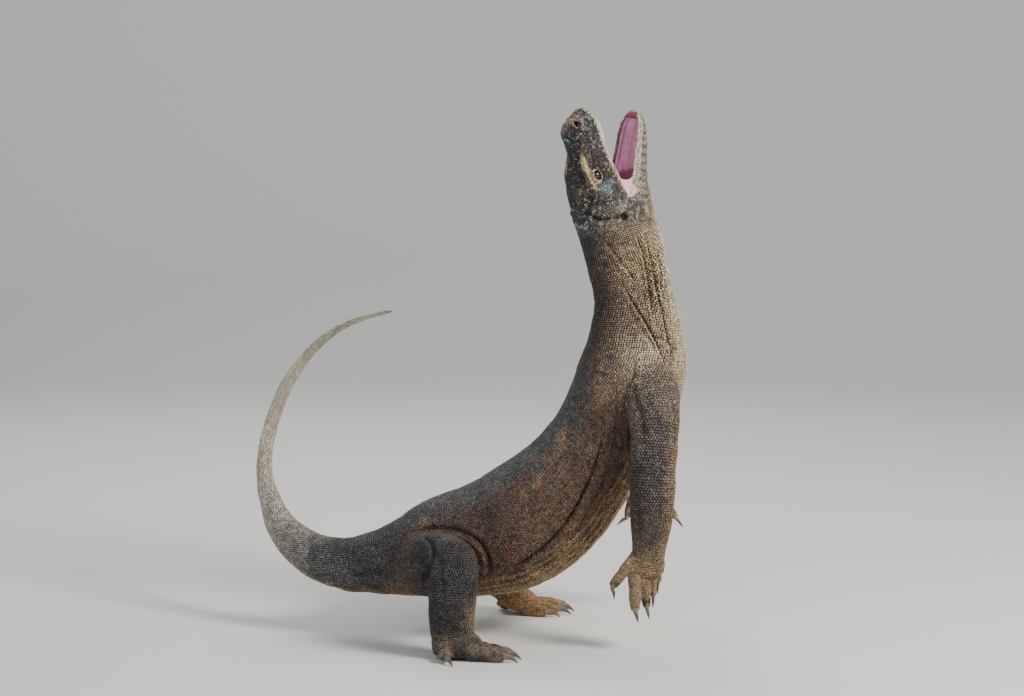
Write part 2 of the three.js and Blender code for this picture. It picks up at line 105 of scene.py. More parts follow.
JAW = np.array([
    row((-78, 0, 0), 20, 97, 54, 0, 2.6, 2.4),
    row((-20, 0, 0), 14, 87, 55, 0, 3, 2.4),
    row((12, 0, 0), 6, 74, 54, 0, 4, 2.4),
    row((36, 0, 0), 4, 62, 52, 0, 5, 2.5),
    row((60, 0, 0), 4, 51, 50, 0, 5, 2.6),
    row((84, 0, 0), 4, 45, 48, 0, 5, 2.6),
    row((109, 0, 0), 4, 42, 46, 0, 5, 2.6),
    row((133, 0, 0), 4, 37, 45, 0, 5, 2.6),
    row((153, 0, 0), 4, 32, 43, 0, 5, 2.5),
    row((173, 0, 0), 4, 25, 38, 0, 4, 2.3),
    row((188, 0, 0), 4, 17, 28, 0, 3, 2.2),
    row((197, 0, 0), 3, 7, 13, 0, 2, 2),
])
ARMS = {
    "right": np.array([
        row((280, -45, 572), 44, 44, 38),
        row((289, -78, 535), 56, 54, 44),
        row((294, -112, 480), 52, 52, 44),
        row((292, -132, 430), 50, 49, 42),
        row((289, -146, 385), 48, 46, 42),
        row((287, -152, 345), 49, 46, 41),
        row((285, -155, 300), 47, 44, 38),
        row((283, -157, 250), 41, 40, 33),
        row((281, -158, 205), 34, 35, 28),
        row((279, -159, 186), 37, 38, 25),
        row((277, -160, 170), 36, 38, 22),
        row((276, -160, 160), 26, 28, 14),
    ]),
    "left": np.array([
        row((280, 45, 572), 44, 44, 38),
        row((288, 78, 535), 54, 54, 44),
        row((288, 112, 490), 52, 52, 44),
        row((281, 138, 450), 49, 49, 42),
        row((276, 158, 412), 46, 46, 42),
        row((277, 170, 380), 45, 45, 41),
        row((283, 180, 348), 42, 42, 38),
        row((292, 188, 318), 38, 38, 33),
        row((300, 194, 292), 34, 34, 28),
        row((305, 197, 274), 36, 36, 24),
        row((308, 199, 262), 34, 35, 20),
        row((309, 200, 254), 24, 24, 12),
    ]),
}
THIGHS = {
    "right": np.array([
        row((-168, -30, 160), 78, 70, 80, 90),
        row((-166, -90, 164), 76, 64, 74, 90),
        row((-146, -148, 182), 64, 58, 64, 90),
        row((-122, -188, 198), 46, 46, 50, 90),
        row((-110, -210, 204), 22, 22, 26, 90),
    ]),
    "left": np.array([
        row((-168, 30, 160), 78, 70, 80, -90),
        row((-166, 90, 164), 76, 64, 74, -90),
        row((-152, 140, 182), 64, 58, 64, -90),
        row((-132, 178, 196), 46, 46, 50, -90),
        row((-122, 200, 200), 22, 22, 26, -90),
    ]),
}
SHINS = {
    "right": np.array([
        row((-113, -196, 240), 18, 18, 16),
        row((-115, -198, 224), 38, 38, 34),
        row((-117, -200, 185), 50, 50, 46),
        row((-121, -205, 135), 50, 50, 46),
        row((-123, -208, 85), 49, 49, 42),
        row((-121, -210, 48), 46, 46, 38),
        row((-118, -212, 24), 36, 42, 34),
    ]),
    "left": np.array([
        row((-132, 186, 226), 20, 20, 18),
        row((-123, 187, 208), 40, 40, 36),
        row((-100, 190, 172), 50, 50, 46),
        row((-66, 194, 124), 46, 48, 44),
        row((-34, 198, 82), 42, 42, 40),
        row((-10, 200, 50), 30, 30, 34),
    ]),
}
FEET = {
    "right": np.array([
        row((-162, -212, 22), 14, 16, 20),
        row((-142, -212, 26), 26, 28, 36),
        row((-108, -214, 28), 32, 30, 42),
        row((-80, -215, 23), 26, 25, 42),
        row((-64, -216, 17), 14, 18, 36),
    ]),
    "left": np.array([
        row((-34, 200, 56), 18, 20, 22),
        row((-14, 201, 50), 32, 30, 36),
        row((14, 203, 36), 29, 32, 40),
        row((40, 205, 24), 22, 24, 40),
        row((56, 206, 17), 12, 18, 34),
    ]),
}
# Digits: where each starts (ahead, towards digit 1), spread, length, thickness, angle of the claw, lift.
FINGERS = [
    (-26, 22, 6, 36, 10, 0, -30),
    (-27, 10, 5, 64, 10.5, 0, -20),
    (-28, -6, 5, 86, 11.5, 10, -4),
    (-28, -26, 2, 90, 13.5, 12, 9),
    (-46, -28, -36, 72, 12, 2, 6),
]
WIDE_FINGERS = [
    (-8, 18, 28, 58, 10, 32, 0),
    (-12, 10, 14, 58, 10, 10, 0),
    (-12, -4, 2, 60, 10.5, 0, 0),
    (-14, -20, -9, 62, 10.5, -12, 0),
    (-26, -40, -19, 62, 10.5, -54, 0),
]
TOES = [
    (-26, 30, 16, 46, 10, 8, 0),
    (-20, 12, 6, 64, 11, 2, 0),
    (-18, -8, -3, 71, 12, -4, 0),
    (-20, -29, -10, 67, 12.5, -8, 0),
    (-74, -28, -84, 25, 11.5, -66, 0),
]
EYE_RADIUS = 10
EYE_SPOT = (77, 46, 30)
EAR_SPOT = (-18, 60, -12)
NOSTRIL_SPOT = (187, 29, 42)
MOUTH_CORNER = (30, 0, -48)
LIP = 7
FLOOR_DEPTH = 16
PALATE_DEPTH = 13

# ------------------------------------------------------------------ places and tubes


def rad(angle):
    return math.radians(angle)


def place(base, ahead, turn):
    """A 4 by 4 matrix: x ahead, y left, z up, from a base point, a direction and the turn of its left."""
    x = np.array(ahead, float)
    x /= np.linalg.norm(x)
    y = np.array([math.sin(rad(turn)), math.cos(rad(turn)), 0.0])
    y -= y.dot(x) * x
    y /= np.linalg.norm(y)
    matrix = np.eye(4)
    matrix[:3, 0], matrix[:3, 1], matrix[:3, 2], matrix[:3, 3] = x, y, np.cross(x, y), base
    return matrix


def turn_y(angle, spot):
    c, s = math.cos(rad(angle)), math.sin(rad(angle))
    return np.array([[c, 0, s, spot[0]], [0, 1, 0, spot[1]], [-s, 0, c, spot[2]], [0, 0, 0, 1.0]])


HEAD = place((190, 0, 900), (-math.sin(rad(10)), 0, math.cos(rad(10))), -30)
JAW_PLACE = HEAD @ turn_y(22, (9.4, 0, -38.3))


def carry(matrix, points):
    return points @ matrix[:3, :3].T + matrix[:3, 3]


def into(matrix, points):
    return (points - matrix[:3, 3]) @ matrix[:3, :3]


def between(rows, t):
    """Rows read at any t, by a smooth curve through them."""
    last = len(rows) - 1
    i = np.clip(np.floor(t).astype(int), 0, last - 1)
    f = (t - i)[..., None]
    a, b, c, d = (rows[np.clip(i + k, 0, last)] for k in (-1, 0, 1, 2))
    slope_in, slope_out = (c - a) / 2, (d - b) / 2
    cubic = 2 * b - 2 * c + slope_in + slope_out
    square = -3 * b + 3 * c - 2 * slope_in - slope_out
    return ((cubic * f + square) * f + slope_in) * f + b


def unit(v):
    return v / np.maximum(np.linalg.norm(v, axis=-1, keepdims=True), 1e-9)


T_STEP = 0.02


class Tube:
    """A closed skin drawn round a bent spine."""

    def __init__(self, name, rows, matrix=None, thin=2.4):
        self.name, self.rows, self.thin = name, rows, thin
        self.matrix = np.eye(4) if matrix is None else matrix
        self.last = len(rows) - 1

    def stride(self, t):
        """The step along the middle line over twice T_STEP."""
        return between(self.rows, t + T_STEP)[..., :3] - between(self.rows, t - T_STEP)[..., :3]

    def frames(self, t):
        here = between(self.rows, t)
        ahead = unit(self.stride(t))
        turn = np.radians(here[..., 6])
        left = np.stack([np.sin(turn), np.cos(turn), np.zeros_like(turn)], -1)
        left = unit(left - (left * ahead).sum(-1, keepdims=True) * ahead)
        return here, ahead, left, np.cross(ahead, left)

    def slim(self, size):
        """A half size of the flesh, which lies under the coat, and a little less so where it is slender."""
        return size - np.minimum(self.thin, size * 0.2)

    def points(self, t, angle, grow=0.0):
        """Points on the skin at t along the rows and an angle round them, from the back to the left."""
        t, angle = np.broadcast_arrays(np.asarray(t, float), np.asarray(angle, float))
        here, _, left, up = self.frames(t)
        x, z = np.sin(angle), np.cos(angle)
        deep = self.slim(np.where(z > 0, here[..., 3], here[..., 4])) + grow
        wide = self.slim(here[..., 5]) + grow
        box = 2 / np.where(z > 0, here[..., 7], here[..., 8])
        up_by = np.sign(z) * deep * np.abs(z) ** box
        left_by = np.sign(x) * wide * np.abs(x) ** box
        return carry(self.matrix, here[..., :3] + up * up_by[..., None] + left * left_by[..., None])

    def shell(self, rings, around, grow=0.0):
        """Vertices and faces of the closed tube."""
        t = np.linspace(0, self.last, rings + 1)
        angle = np.arange(around) * 2 * math.pi / around
        skin = self.points(t[:, None], angle[None, :], grow).reshape(-1, 3)
        caps = carry(self.matrix, between(self.rows, t[[0, -1]])[:, :3])
        i = np.arange(rings)[:, None] * around
        j = np.arange(around)[None, :]
        k = (j + 1) % around
        quads = np.stack([i + j, i + around + j, i + around + k, i + k], -1).reshape(-1, 4).tolist()
        low, high = len(skin), len(skin) + 1
        end = rings * around
        fans = [[low, a, (a + 1) % around] for a in range(around)]
        fans += [[high, end + (a + 1) % around, end + a] for a in range(around)]
        return np.vstack([skin, caps]), quads + fans

    def locate(self, points):
        """For points near the tube: t, angle, and how far outside the skin each lies."""
        fine = np.linspace(0, self.last, self.last * 6 + 1)
        centres = between(self.rows, fine)[:, :3]
        local = into(self.matrix, points)
        t = np.empty(len(local))
        for start in range(0, len(local), 20000):
            part = local[start:start + 20000]
            gap = ((part[:, None, :] - centres[None]) ** 2).sum(-1)
            t[start:start + 20000] = fine[gap.argmin(1)]
        for _ in range(3):
            here, ahead, left, up = self.frames(t)
            along = ((local - here[:, :3]) * ahead).sum(-1)
            speed = np.linalg.norm(self.stride(t), axis=1)
            t = np.clip(t + along * 2 * T_STEP / np.maximum(speed, 1e-6), 0, self.last)
        here, ahead, left, up = self.frames(t)
        offset = local - here[:, :3]
        a, b, along = (offset * up).sum(-1), (offset * left).sum(-1), (offset * ahead).sum(-1)
        deep, wide = self.slim(np.where(a > 0, here[:, 3], here[:, 4])), self.slim(here[:, 5])
        box = np.where(a > 0, here[:, 7], here[:, 8])
        za, xb = (np.abs(a) / deep) ** (box / 2), (np.abs(b) / wide) ** (box / 2)
        angle = np.arctan2(np.sign(b) * xb, np.sign(a) * za)
        share = np.maximum(za ** 2 + xb ** 2, 1e-9) ** (1 / box)
        away = np.hypot(a, b) * (1 - 1 / np.maximum(share, 1e-3))
        past_end = np.abs(along) - (1 if self.name == "spine" else 6)
        return t, angle, np.maximum(away, past_end)


PAWS = {
    "hand_right": (place((276, -160, 150), (0, 0, -1), 90), 1, FINGERS, 33, 0),
    "hand_left": (place((308, 200, 253), (0.1, -0.1, -1), -90), -1, WIDE_FINGERS, 31, 0),
    "foot_right": (place((-62, -216, 0), (1, 0, 0), 0), 1, TOES, 33, 14),
    "foot_left": (place((57, 206, 0), (1, 0.05, 0), 0), -1, TOES, 33, 14),
}
ARCH = 5
CLAW_SUNK = 5
CLAW_BEND = 22
CLAW_SLIM = 0.62


def digit_rows(digit, side, rise):
    x, y, spread, length, thick, _, lift = digit
    angle = rad(spread * side)

    def stop(reach, up, size):
        under = rise + up + 1 if rise > 0 else size
        level = rise + up + lift * (0.45 + 0.55 * reach / length)
        spot = (x + reach * math.cos(angle), y * side + reach * math.sin(angle), level)
        return row(spot, size, under, size * 1.05)

    knuckles = [(-10, 0, 0.9), (length * 0.18, ARCH * 0.7, 0.92), (length * 0.35, ARCH, 1.0)]
    knuckles += [(length * 0.52, ARCH * 0.85, 0.88), (length * 0.7, ARCH * 0.6, 0.93)]
    knuckles += [(length * 0.86, 0.4, 0.84), (length, -2, 0.7)]
    return np.array([stop(reach, up, thick * share) for reach, up, share in knuckles])


def claw_rows(digit, side, rise, reach):
    x, y, spread, length, thick, claw, lift = digit
    digit_angle, claw_angle = rad(spread * side), rad(claw * side)
    start = length - CLAW_SUNK
    root = (x + start * math.cos(digit_angle), y * side + start * math.sin(digit_angle))
    drop = rise - 2.4 if rise > 0 else reach * 0.3

    def stop(share, size):
        angle = digit_angle + (claw_angle - digit_angle) * min(1, share * 2)
        spot = (root[0] + reach * share * math.cos(angle), root[1] + reach * share * math.sin(angle))
        level = rise + lift - 2 + CLAW_BEND * share * (1 - share) - drop * share
        return row((*spot, level), size, size, size * CLAW_SLIM)

    sizes = [(0, 0.68), (0.15, 0.66), (0.3, 0.6), (0.48, 0.5), (0.65, 0.38), (0.85, 0.2)]
    return np.array([stop(share, thick * size) for share, size in sizes] + [stop(1, 1.0)])


TUBES = {
    "spine": Tube("spine", SPINE),
    "skull": Tube("skull", SKULL, HEAD, 1.8),
    "jaw": Tube("jaw", JAW, JAW_PLACE, 1.8),
}
for SIDE in ("right", "left"):
    TUBES[f"arm_{SIDE}"] = Tube(f"arm_{SIDE}", ARMS[SIDE], thin=2.0)
    TUBES[f"thigh_{SIDE}"] = Tube(f"thigh_{SIDE}", THIGHS[SIDE])
    TUBES[f"shin_{SIDE}"] = Tube(f"shin_{SIDE}", SHINS[SIDE])
    TUBES[f"foot_{SIDE}"] = Tube(f"foot_{SIDE}", FEET[SIDE], thin=1.8)
for PAW, (PLACE, FACING, DIGITS, _, RISE) in PAWS.items():
    for NUMBER, DIGIT in enumerate(DIGITS, 1):
        NAME = f"{PAW}_{NUMBER}"
        TUBES[NAME] = Tube(NAME, digit_rows(DIGIT, FACING, RISE), PLACE, 1.4)

# ------------------------------------------------------------------ from the anatomy frame to the row frame

EYES = [np.mean([list(c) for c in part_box(f"eye_{side}")], axis=0) for side in ("right", "left")]
MID_EYE = carry(HEAD, np.array([[EYE_SPOT[0], 0.0, EYE_SPOT[2]]]))[0]
SHIFT = np.mean(EYES, axis=0) / MM - MID_EYE
SHIFT[2] = 0


def to_row(points):
    return (np.asarray(points) + SHIFT) * MM


def put(name, data):
    """An object of the scene, from a mesh, a light or a camera."""
    made = bpy.data.objects.new(name, data)
    bpy.context.scene.collection.objects.link(made)
    return made


def new_object(name, points, faces):
    mesh = bpy.data.meshes.new(name)
    mesh.from_pydata(to_row(points).tolist(), [], faces)
    mesh.update()
    return put(name, mesh)


def smooth(mesh):
    mesh.polygons.foreach_set("use_smooth", np.ones(len(mesh.polygons), bool))


def on_head(spot):
    """A place given in the head's own frame, in the anatomy frame."""
    return carry(HEAD, np.array([spot], float))[0]


def positions(mesh):
    flat = np.empty(len(mesh.vertices) * 3, np.float32)
    mesh.vertices.foreach_get("co", flat)
    return flat.reshape(-1, 3).astype(float)


def set_positions(mesh, points):
    mesh.vertices.foreach_set("co", np.asarray(points, np.float32).ravel())
    mesh.update()


def apply_modifiers(thing):
    graph = bpy.context.evaluated_depsgraph_get()
    done = bpy.data.meshes.new_from_object(thing.evaluated_get(graph))
    old = thing.data
    thing.modifiers.clear()
    thing.data = done
    bpy.data.meshes.remove(old)


def cut_from(thing, cutter):
    change = thing.modifiers.new("cut", "BOOLEAN")
    change.operation, change.solver, change.object = "DIFFERENCE", "EXACT", cutter
    apply_modifiers(thing)
    bpy.data.objects.remove(cutter)


def scoop(rows, matrix, top, under, back, box_top, box_under, level=False):
    """The hollow along a jaw: its rows of lips, shrunk by the width of the rim."""
    made = []
    for ahead, _, height, _, below, wide, *_ in rows:
        spot = (ahead - back, 0, height - below if level else 0)
        made.append(row(spot, top, under, wide - LIP, 0, box_top, box_under))
    return Tube("scoop", np.array(made), matrix, 0)


OPEN_SIDE = 30
VAULT = scoop(SKULL[3:11], HEAD, PALATE_DEPTH, OPEN_SIDE, 5, 2.3, 4, True)
HOLLOW = scoop(JAW[2:11], JAW_PLACE, OPEN_SIDE, FLOOR_DEPTH, 4, 4, 2.3)

# ------------------------------------------------------------------ camera

PITCH = 6.8
EYE_LEVEL = 1267
FAR = 5500
SENSOR = 36
LENS = 93


def add_camera():
    data = bpy.data.cameras.new("camera")
    data.sensor_width, data.lens = SENSOR, LENS
    data.clip_end = 40
    camera = put("camera", data)
    camera.location = to_row((0, -FAR, EYE_LEVEL))
    camera.rotation_euler = (rad(90 - PITCH), 0, 0)
    bpy.context.scene.camera = camera


add_camera()

# ------------------------------------------------------------------ flesh

VOXEL = 2.8


def make_flesh():
    shells = []
    for name, tube in TUBES.items():
        if name == "spine":
            shells.append(new_object(name, *tube.shell(150, 56)))
        elif name == "skull":
            skull = new_object(name, *tube.shell(70, 64))
            cut_from(skull, new_object("vault", *VAULT.shell(40, 40)))
            shells.append(skull)
        elif name == "jaw":
            lower = new_object(name, *tube.shell(70, 56))
            cut_from(lower, new_object("hollow", *HOLLOW.shell(40, 40)))
            shells.append(lower)
        else:
            rings = 60 if name.startswith("arm") else 24
            shells.append(new_object(name, *tube.shell(rings, 32)))
    with bpy.context.temp_override(active_object=shells[0], selected_editable_objects=shells):
        bpy.ops.object.join()
    flesh = shells[0]
    flesh.name = "skin"
    change = flesh.modifiers.new("weld", "REMESH")
    change.mode, change.voxel_size, change.use_smooth_shade = "VOXEL", VOXEL * MM, True
    apply_modifiers(flesh)
    change = flesh.modifiers.new("ease", "SMOOTH")
    change.factor, change.iterations = 0.5, 6
    apply_modifiers(flesh)
    return flesh


flesh = make_flesh()


def subdivide_near(thing, spots, radius):
    """Finer skin round the given spots, here the eyes and the nostrils."""
    mesh = bmesh.new()
    mesh.from_mesh(thing.data)
    reach = radius * MM
    centres = [Vector(spot) for spot in to_row(spots)]
    close = {v.index for v in mesh.verts if any((v.co - c).length < reach for c in centres)}
    edges = [e for e in mesh.edges if e.verts[0].index in close and e.verts[1].index in close]
    bmesh.ops.subdivide_edges(mesh, edges=edges, cuts=1, use_grid_fill=True)
    mesh.to_mesh(thing.data)
    mesh.free()


def head_spots(spot):
    return [on_head((spot[0], side * spot[1], spot[2])) for side in (-1, 1)]


# ------------------------------------------------------------------ random values and blends


def noise(points, size, seed=0):
    """Smooth random values from -1 to 1, with lumps of the given size."""
    q = points / np.asarray(size, float)
    cell = np.floor(q).astype(np.int64)
    f = q - cell
    f = f * f * (3 - 2 * f)
    total = np.zeros(len(q))
    for corner in range(8):
        step = np.array([corner & 1, corner >> 1 & 1, corner >> 2 & 1])
        at = cell + step
        mixed = (at[:, 0] * 73856093) ^ (at[:, 1] * 19349663) ^ (at[:, 2] * 83492791) ^ (seed * 7919 + 13)
        mixed = ((mixed ^ (mixed >> 13)) * 1274126177) & 0xFFFFFFFF
        value = ((mixed ^ (mixed >> 16)) & 0xFFFF) / 32767.5 - 1
        total += np.prod(np.where(step, f, 1 - f), axis=1) * value
    return total


def rise(value, low, high):
    """0 below low, 1 above high, and smooth between."""
    f = np.clip((value - low) / (high - low), 0, 1)
    return f * f * (3 - 2 * f)


# ------------------------------------------------------------------ where each point of the skin lies

TUBE_LIST = list(TUBES.values())
TUBE_NAMES = list(TUBES)


def owners(points):
    """The tube nearest each point, t and angle on it, how far outside it, and the next tube and how far."""
    best, second = np.full(len(points), 1e9), np.full(len(points), 1e9)
    owner, other = np.zeros(len(points), int), np.zeros(len(points), int)
    where = np.zeros((len(points), 2))
    for number, tube in enumerate(TUBE_LIST):
        t = np.linspace(0, tube.last, 25)[:, None]
        sample = tube.points(t, np.arange(12) * math.pi / 6).reshape(-1, 3)
        near = np.flatnonzero(((points > sample.min(0) - 12) & (points < sample.max(0) + 12)).all(1))
        if not len(near):
            continue
        t, angle, away = tube.locate(points[near])
        closer = away < best[near]
        chosen = near[closer]
        second[chosen], other[chosen] = best[chosen], owner[chosen]
        best[chosen], owner[chosen] = away[closer], number
        where[chosen] = np.stack([t, angle], 1)[closer]
        between_them = ~closer & (away < second[near])
        second[near[between_them]], other[near[between_them]] = away[between_them], number
    return owner, where, best, other, second


def owned_by(*starts):
    wanted = [n for n, name in enumerate(TUBE_NAMES) if name.startswith(starts)]
    return np.isin(skin_owner, wanted)


def ease_seams(thing):
    """Runs the head into the neck, and the limbs into the trunk, without an edge."""
    points = positions(thing.data) / MM - SHIFT
    owner, _, _, other, second = owners(points)
    kinds = np.array([SEAM_KINDS.get(name.split("_")[0], "limb") for name in TUBE_NAMES])
    one, two = kinds[owner], kinds[other]
    neck = ((one == "head") & (two == "spine")) | ((one == "spine") & (two == "head"))
    hip = ((one == "hip") | (two == "hip")) & (one != two)
    limb = (one != two) & ~neck & ~hip
    for name, pair, reach, times in (("neck", neck, 50, 120), ("hip", hip, 30, 50), ("limb", limb, 18, 20)):
        weight = np.where(pair, rise(reach - np.maximum(second, 0), 0, reach * 0.7), 0)
        group = thing.vertex_groups.new(name=name)
        for level in np.arange(1, 11) / 10:
            group.add(np.flatnonzero(np.abs(weight - level) < 0.05).tolist(), float(level), "REPLACE")
        change = thing.modifiers.new(name, "SMOOTH")
        change.factor, change.iterations, change.vertex_group = 0.5, times, name
    apply_modifiers(thing)
    thing.vertex_groups.clear()


SEAM_KINDS = {"spine": "spine", "skull": "head", "jaw": "head", "thigh": "hip"}
ease_seams(flesh)
subdivide_near(flesh, head_spots(EYE_SPOT), 24)
subdivide_near(flesh, head_spots((EYE_SPOT[0], EYE_SPOT[1] + 4, EYE_SPOT[2])), 17)
subdivide_near(flesh, head_spots(NOSTRIL_SPOT), 13)
skin_at = positions(flesh.data) / MM - SHIFT
skin_owner, skin_where, *_ = owners(skin_at)

# ------------------------------------------------------------------ folds, muscles and the face

# Folds of the right side, which the left side repeats: tube, start and end as (t, degrees), how far the
# middle bows out of the straight as (t, degrees), depth, width, lean. A fold leans by raising one bank
# more than the other. A ridge has a depth below 0.
FOLDS = [
    # flank: a groove with a cord of skin above it, and slacker folds towards the belly
    ("spine", (14.25, -120), (18.5, -90), (0, 2), 5, 9, 1.0),
    ("spine", (14.5, -115), (18.75, -80), (0, -5), 6, 3.2, 0.8),
    ("spine", (14.5, -111), (18.75, -76), (0, -5), -3.6, 3.4, 0),
    ("spine", (14.75, -135), (18.25, -105), (0, 3), 4.5, 4, 0.8),
    ("spine", (15, -142), (18.5, -112), (0, 0), 3, 3, 0.6),
    ("spine", (15.5, -158), (18, -136), (0, 0), 3, 3, 0.6),
    ("spine", (15.25, -150), (18, -130), (0, 4), 3, 6, 0.8),
    ("spine", (16.25, -156), (18.75, -132), (0, 0), 2.6, 6, 0.6),
    ("spine", (14.5, -160), (16, -170), (0, 0), 2.5, 6, 0.4),
    ("spine", (14.25, -96), (15.5, -86), (0, 2), 2.2, 8, 0.4),
    ("spine", (16.5, -70), (18.25, -68), (0, -3), 1.8, 9, 0.3),
    # round the front of the thigh, and over the hip to the root of the tail
    ("spine", (12.25, -50), (14, -125), (0.9, 8), 6.5, 8, 0.6),
    ("spine", (12, -85), (13.25, -45), (0, 0), 2.6, 8, 0.4),
    ("spine", (12, -52), (13.25, -42), (0, 0), 2.5, 7, 0.3),
    ("spine", (10.25, -105), (11.5, -92), (0, 0), 3, 9, 0.5),
    ("spine", (9, -88), (12, -58), (0, -7), 2.2, 9, 0.2),
    # behind and before the shoulder
    ("spine", (18.25, -118), (20.5, -86), (0, 8), 6, 9, 0.6),
    ("spine", (18, -104), (19.25, -78), (0, 0), 3.2, 7, 0.6),
    ("spine", (20.75, -96), (20.25, -146), (0.2, 0), 4.5, 7, 0.6),
    # neck and throat: long cords from the jaw to the chest, and two slanting folds from the nape
    ("spine", (24, -110), (20, -130), (0, 3), 9, 5.5, 0.9),
    ("spine", (24, -152), (21.25, -134), (0, 2), 7, 5, 0.8),
    ("spine", (24, -94), (21, -104), (0, -4), 7, 4.6, 0.9),
    ("spine", (24, -132), (21.5, -126), (0, 0), 6, 4.5, 0.8),
    ("spine", (22.5, -65), (20, -122), (0, 0), 8, 5, 1.0),
    ("spine", (24, -45), (22.25, -90), (0, 0), 5, 4.5, 0.9),
    ("spine", (20.75, -140), (20, -122), (0, 2), 5, 6, 0.6),
    ("spine", (19.75, -46), (19.75, -68), (0, 0), -3.5, 4, 0),
    ("spine", (19, -67), (18.5, -83), (0, 0), -3, 3.5, 0),
    ("spine", (19.5, -86), (20, -118), (0, 0), -4.5, 8, 0),
    ("spine", (23.75, -172), (21, -160), (0, 4), 4, 7, 0.4),
    ("spine", (23.5, -76), (22.25, -86), (0, 0), 3, 7, 0.6),
    ("spine", (23.75, -40), (23.5, -86), (-0.1, 0), 3, 6, 0.5),
    ("spine", (23, -34), (23, -70), (0, 0), 2.4, 6, 0.5),
    ("spine", (22.5, -20), (22.5, -62), (-0.1, 0), 2, 6, 0.5),
    ("spine", (20.5, -150), (19.75, -172), (0, 0), 3, 7, 0.4),
    ("spine", (21.5, -150), (20.75, -170), (0, 0), 2.5, 6, 0.4),
    ("spine", (23.5, -60), (21, -58), (0, -7), 2, 8, 0.2),
    # arm
    ("arm_right", (0.5, -150), (3.75, -116), (0, 8), 4.5, 10, 0.3),
    ("arm_right", (1, -60), (3.75, -30), (0, 6), 3, 10, 0.2),
    ("arm_right", (4.25, -160), (4.25, -40), (0.1, 0), 2.4, 6, 0.5),
    ("arm_right", (4.75, -150), (4.75, -20), (0.15, 0), 2.8, 6, 0.5),
    ("arm_right", (5.25, -30), (7.75, -60), (0, -8), 2.6, 9, 0.2),
    ("arm_right", (5.25, -140), (8, -118), (0, 4), 2.2, 8, 0.2),
    ("arm_right", (8.5, -150), (8.5, 0), (0.1, 0), 1.8, 5, 0.4),
    ("arm_right", (9, -150), (9, 0), (0.2, 0), 1.6, 5, 0.4),
    # leg
    ("thigh_right", (1.75, -30), (1.75, -145), (1.5, 0), 5.5, 8, 0.3),
    ("shin_right", (1, -150), (3.5, -108), (0, 10), 3.4, 10, 0.2),
    ("shin_right", (1.5, -20), (4.25, -44), (0, -6), 2.6, 9, 0.2),
    ("shin_right", (4.75, -150), (4.75, -30), (0, 0), 1.8, 6, 0.5),
    ("shin_right", (5.25, -150), (5.25, -10), (0.1, 0), 2.2, 6, 0.5),
    # head: the ridge of the brow, the folds round it and behind the jaw, and the lips
    ("skull", (6.75, -33), (3.25, -58), (0, -3), -6.4, 4.6, 0),
    ("skull", (6.25, -24), (3.5, -36), (0, -2), 2.2, 7, 0.2),
    ("skull", (6.5, -40), (8.5, -50), (0, 0), -1.8, 5, 0),
    ("skull", (6, -66), (8.5, -62), (0, 0), 2.2, 6, 0.3),
    ("skull", (3.5, -58), (2.25, -64), (0, -3), 2, 5, 0.4),
    ("skull", (3.5, -86), (9.75, -92), (0, -12), 1.4, 4, 0.3),
    ("skull", (2.75, -20), (2, -115), (-1.1, 0), 8.5, 6, 0.8),
    ("skull", (1, -96), (1, -24), (-0.6, 0), 3, 6, 0.4),
    ("skull", (0.5, -120), (0.5, -76), (0, 0), 3, 6, 0.5),
    ("jaw", (10.25, -84), (3.5, -80), (0, 4), -1.6, 4.5, 0),
    ("jaw", (9.5, -108), (3.5, -106), (0, 3), 1.8, 5, 0.3),
    ("jaw", (6.5, -140), (1, -124), (0, 2), 2.8, 6, 0.5),
    ("jaw", (5.25, -160), (0.25, -144), (0, 3), 2.6, 6, 0.4),
    ("jaw", (2.75, -92), (1, -100), (0, 0), 3, 7, 0.4),
]
FOLD_STEPS = 28
# Rounded muscles and hollows of the right side: tube, t, degrees, height, radius.
MUSCLES = [
    ("skull", 2.3, -84, 4.5, 24), ("skull", 3.1, -42, -5, 15), ("skull", 1.9, -34, 2.5, 18),
    ("skull", 7.0, -18, 2, 16), ("skull", 8.3, -40, -2, 14), ("skull", 4.8, -92, 1.5, 16),
    ("jaw", 1.6, -112, 4, 24), ("jaw", 0.6, -140, 3, 26),
    ("spine", 13.4, -88, 7, 48), ("spine", 14.6, -60, -3, 50), ("spine", 16.4, -84, 3, 60),
    ("spine", 19.4, -62, 5, 46), ("spine", 20.2, -58, 5, 34), ("spine", 21.6, -70, 3, 36),
    ("spine", 18.4, -66, -3, 44), ("spine", 12.0, -108, 4, 40), ("spine", 23.0, -78, 3, 30),
    ("arm_right", 2.0, -84, 4, 34), ("arm_right", 3.2, -150, 3, 30), ("arm_right", 5.7, -90, 3.2, 32),
    ("arm_right", 6.6, -10, 2.4, 26), ("arm_right", 4.5, 180, 3, 20),
    ("shin_right", 2.4, -150, 3, 36), ("shin_right", 2.0, -60, 3, 30), ("shin_right", 4.4, -90, -1.5, 22),
    ("thigh_right", 3.4, -30, 4, 30),
]
SKIN_REACH = 3
DEEPEST, HIGHEST = -11, 7


def both_sides(name, t, degrees):
    """Points of a fold on the right side and its twin on the left."""
    angle = np.radians(degrees)
    yield TUBES[name].points(t, angle)
    twin = name.replace("right", "left")
    other = TUBES[twin]
    yield other.points(t * other.last / TUBES[name].last, -angle)


def fold_route(start_at, end_at, bow):
    """The t and degrees of a fold's points: a straight run whose middle is pushed out by the bow."""
    share = np.linspace(0, 1, FOLD_STEPS)[:, None]
    straight = np.array(start_at) + (np.array(end_at) - np.array(start_at)) * share
    return (straight + np.array(bow) * 4 * share * (1 - share)).T


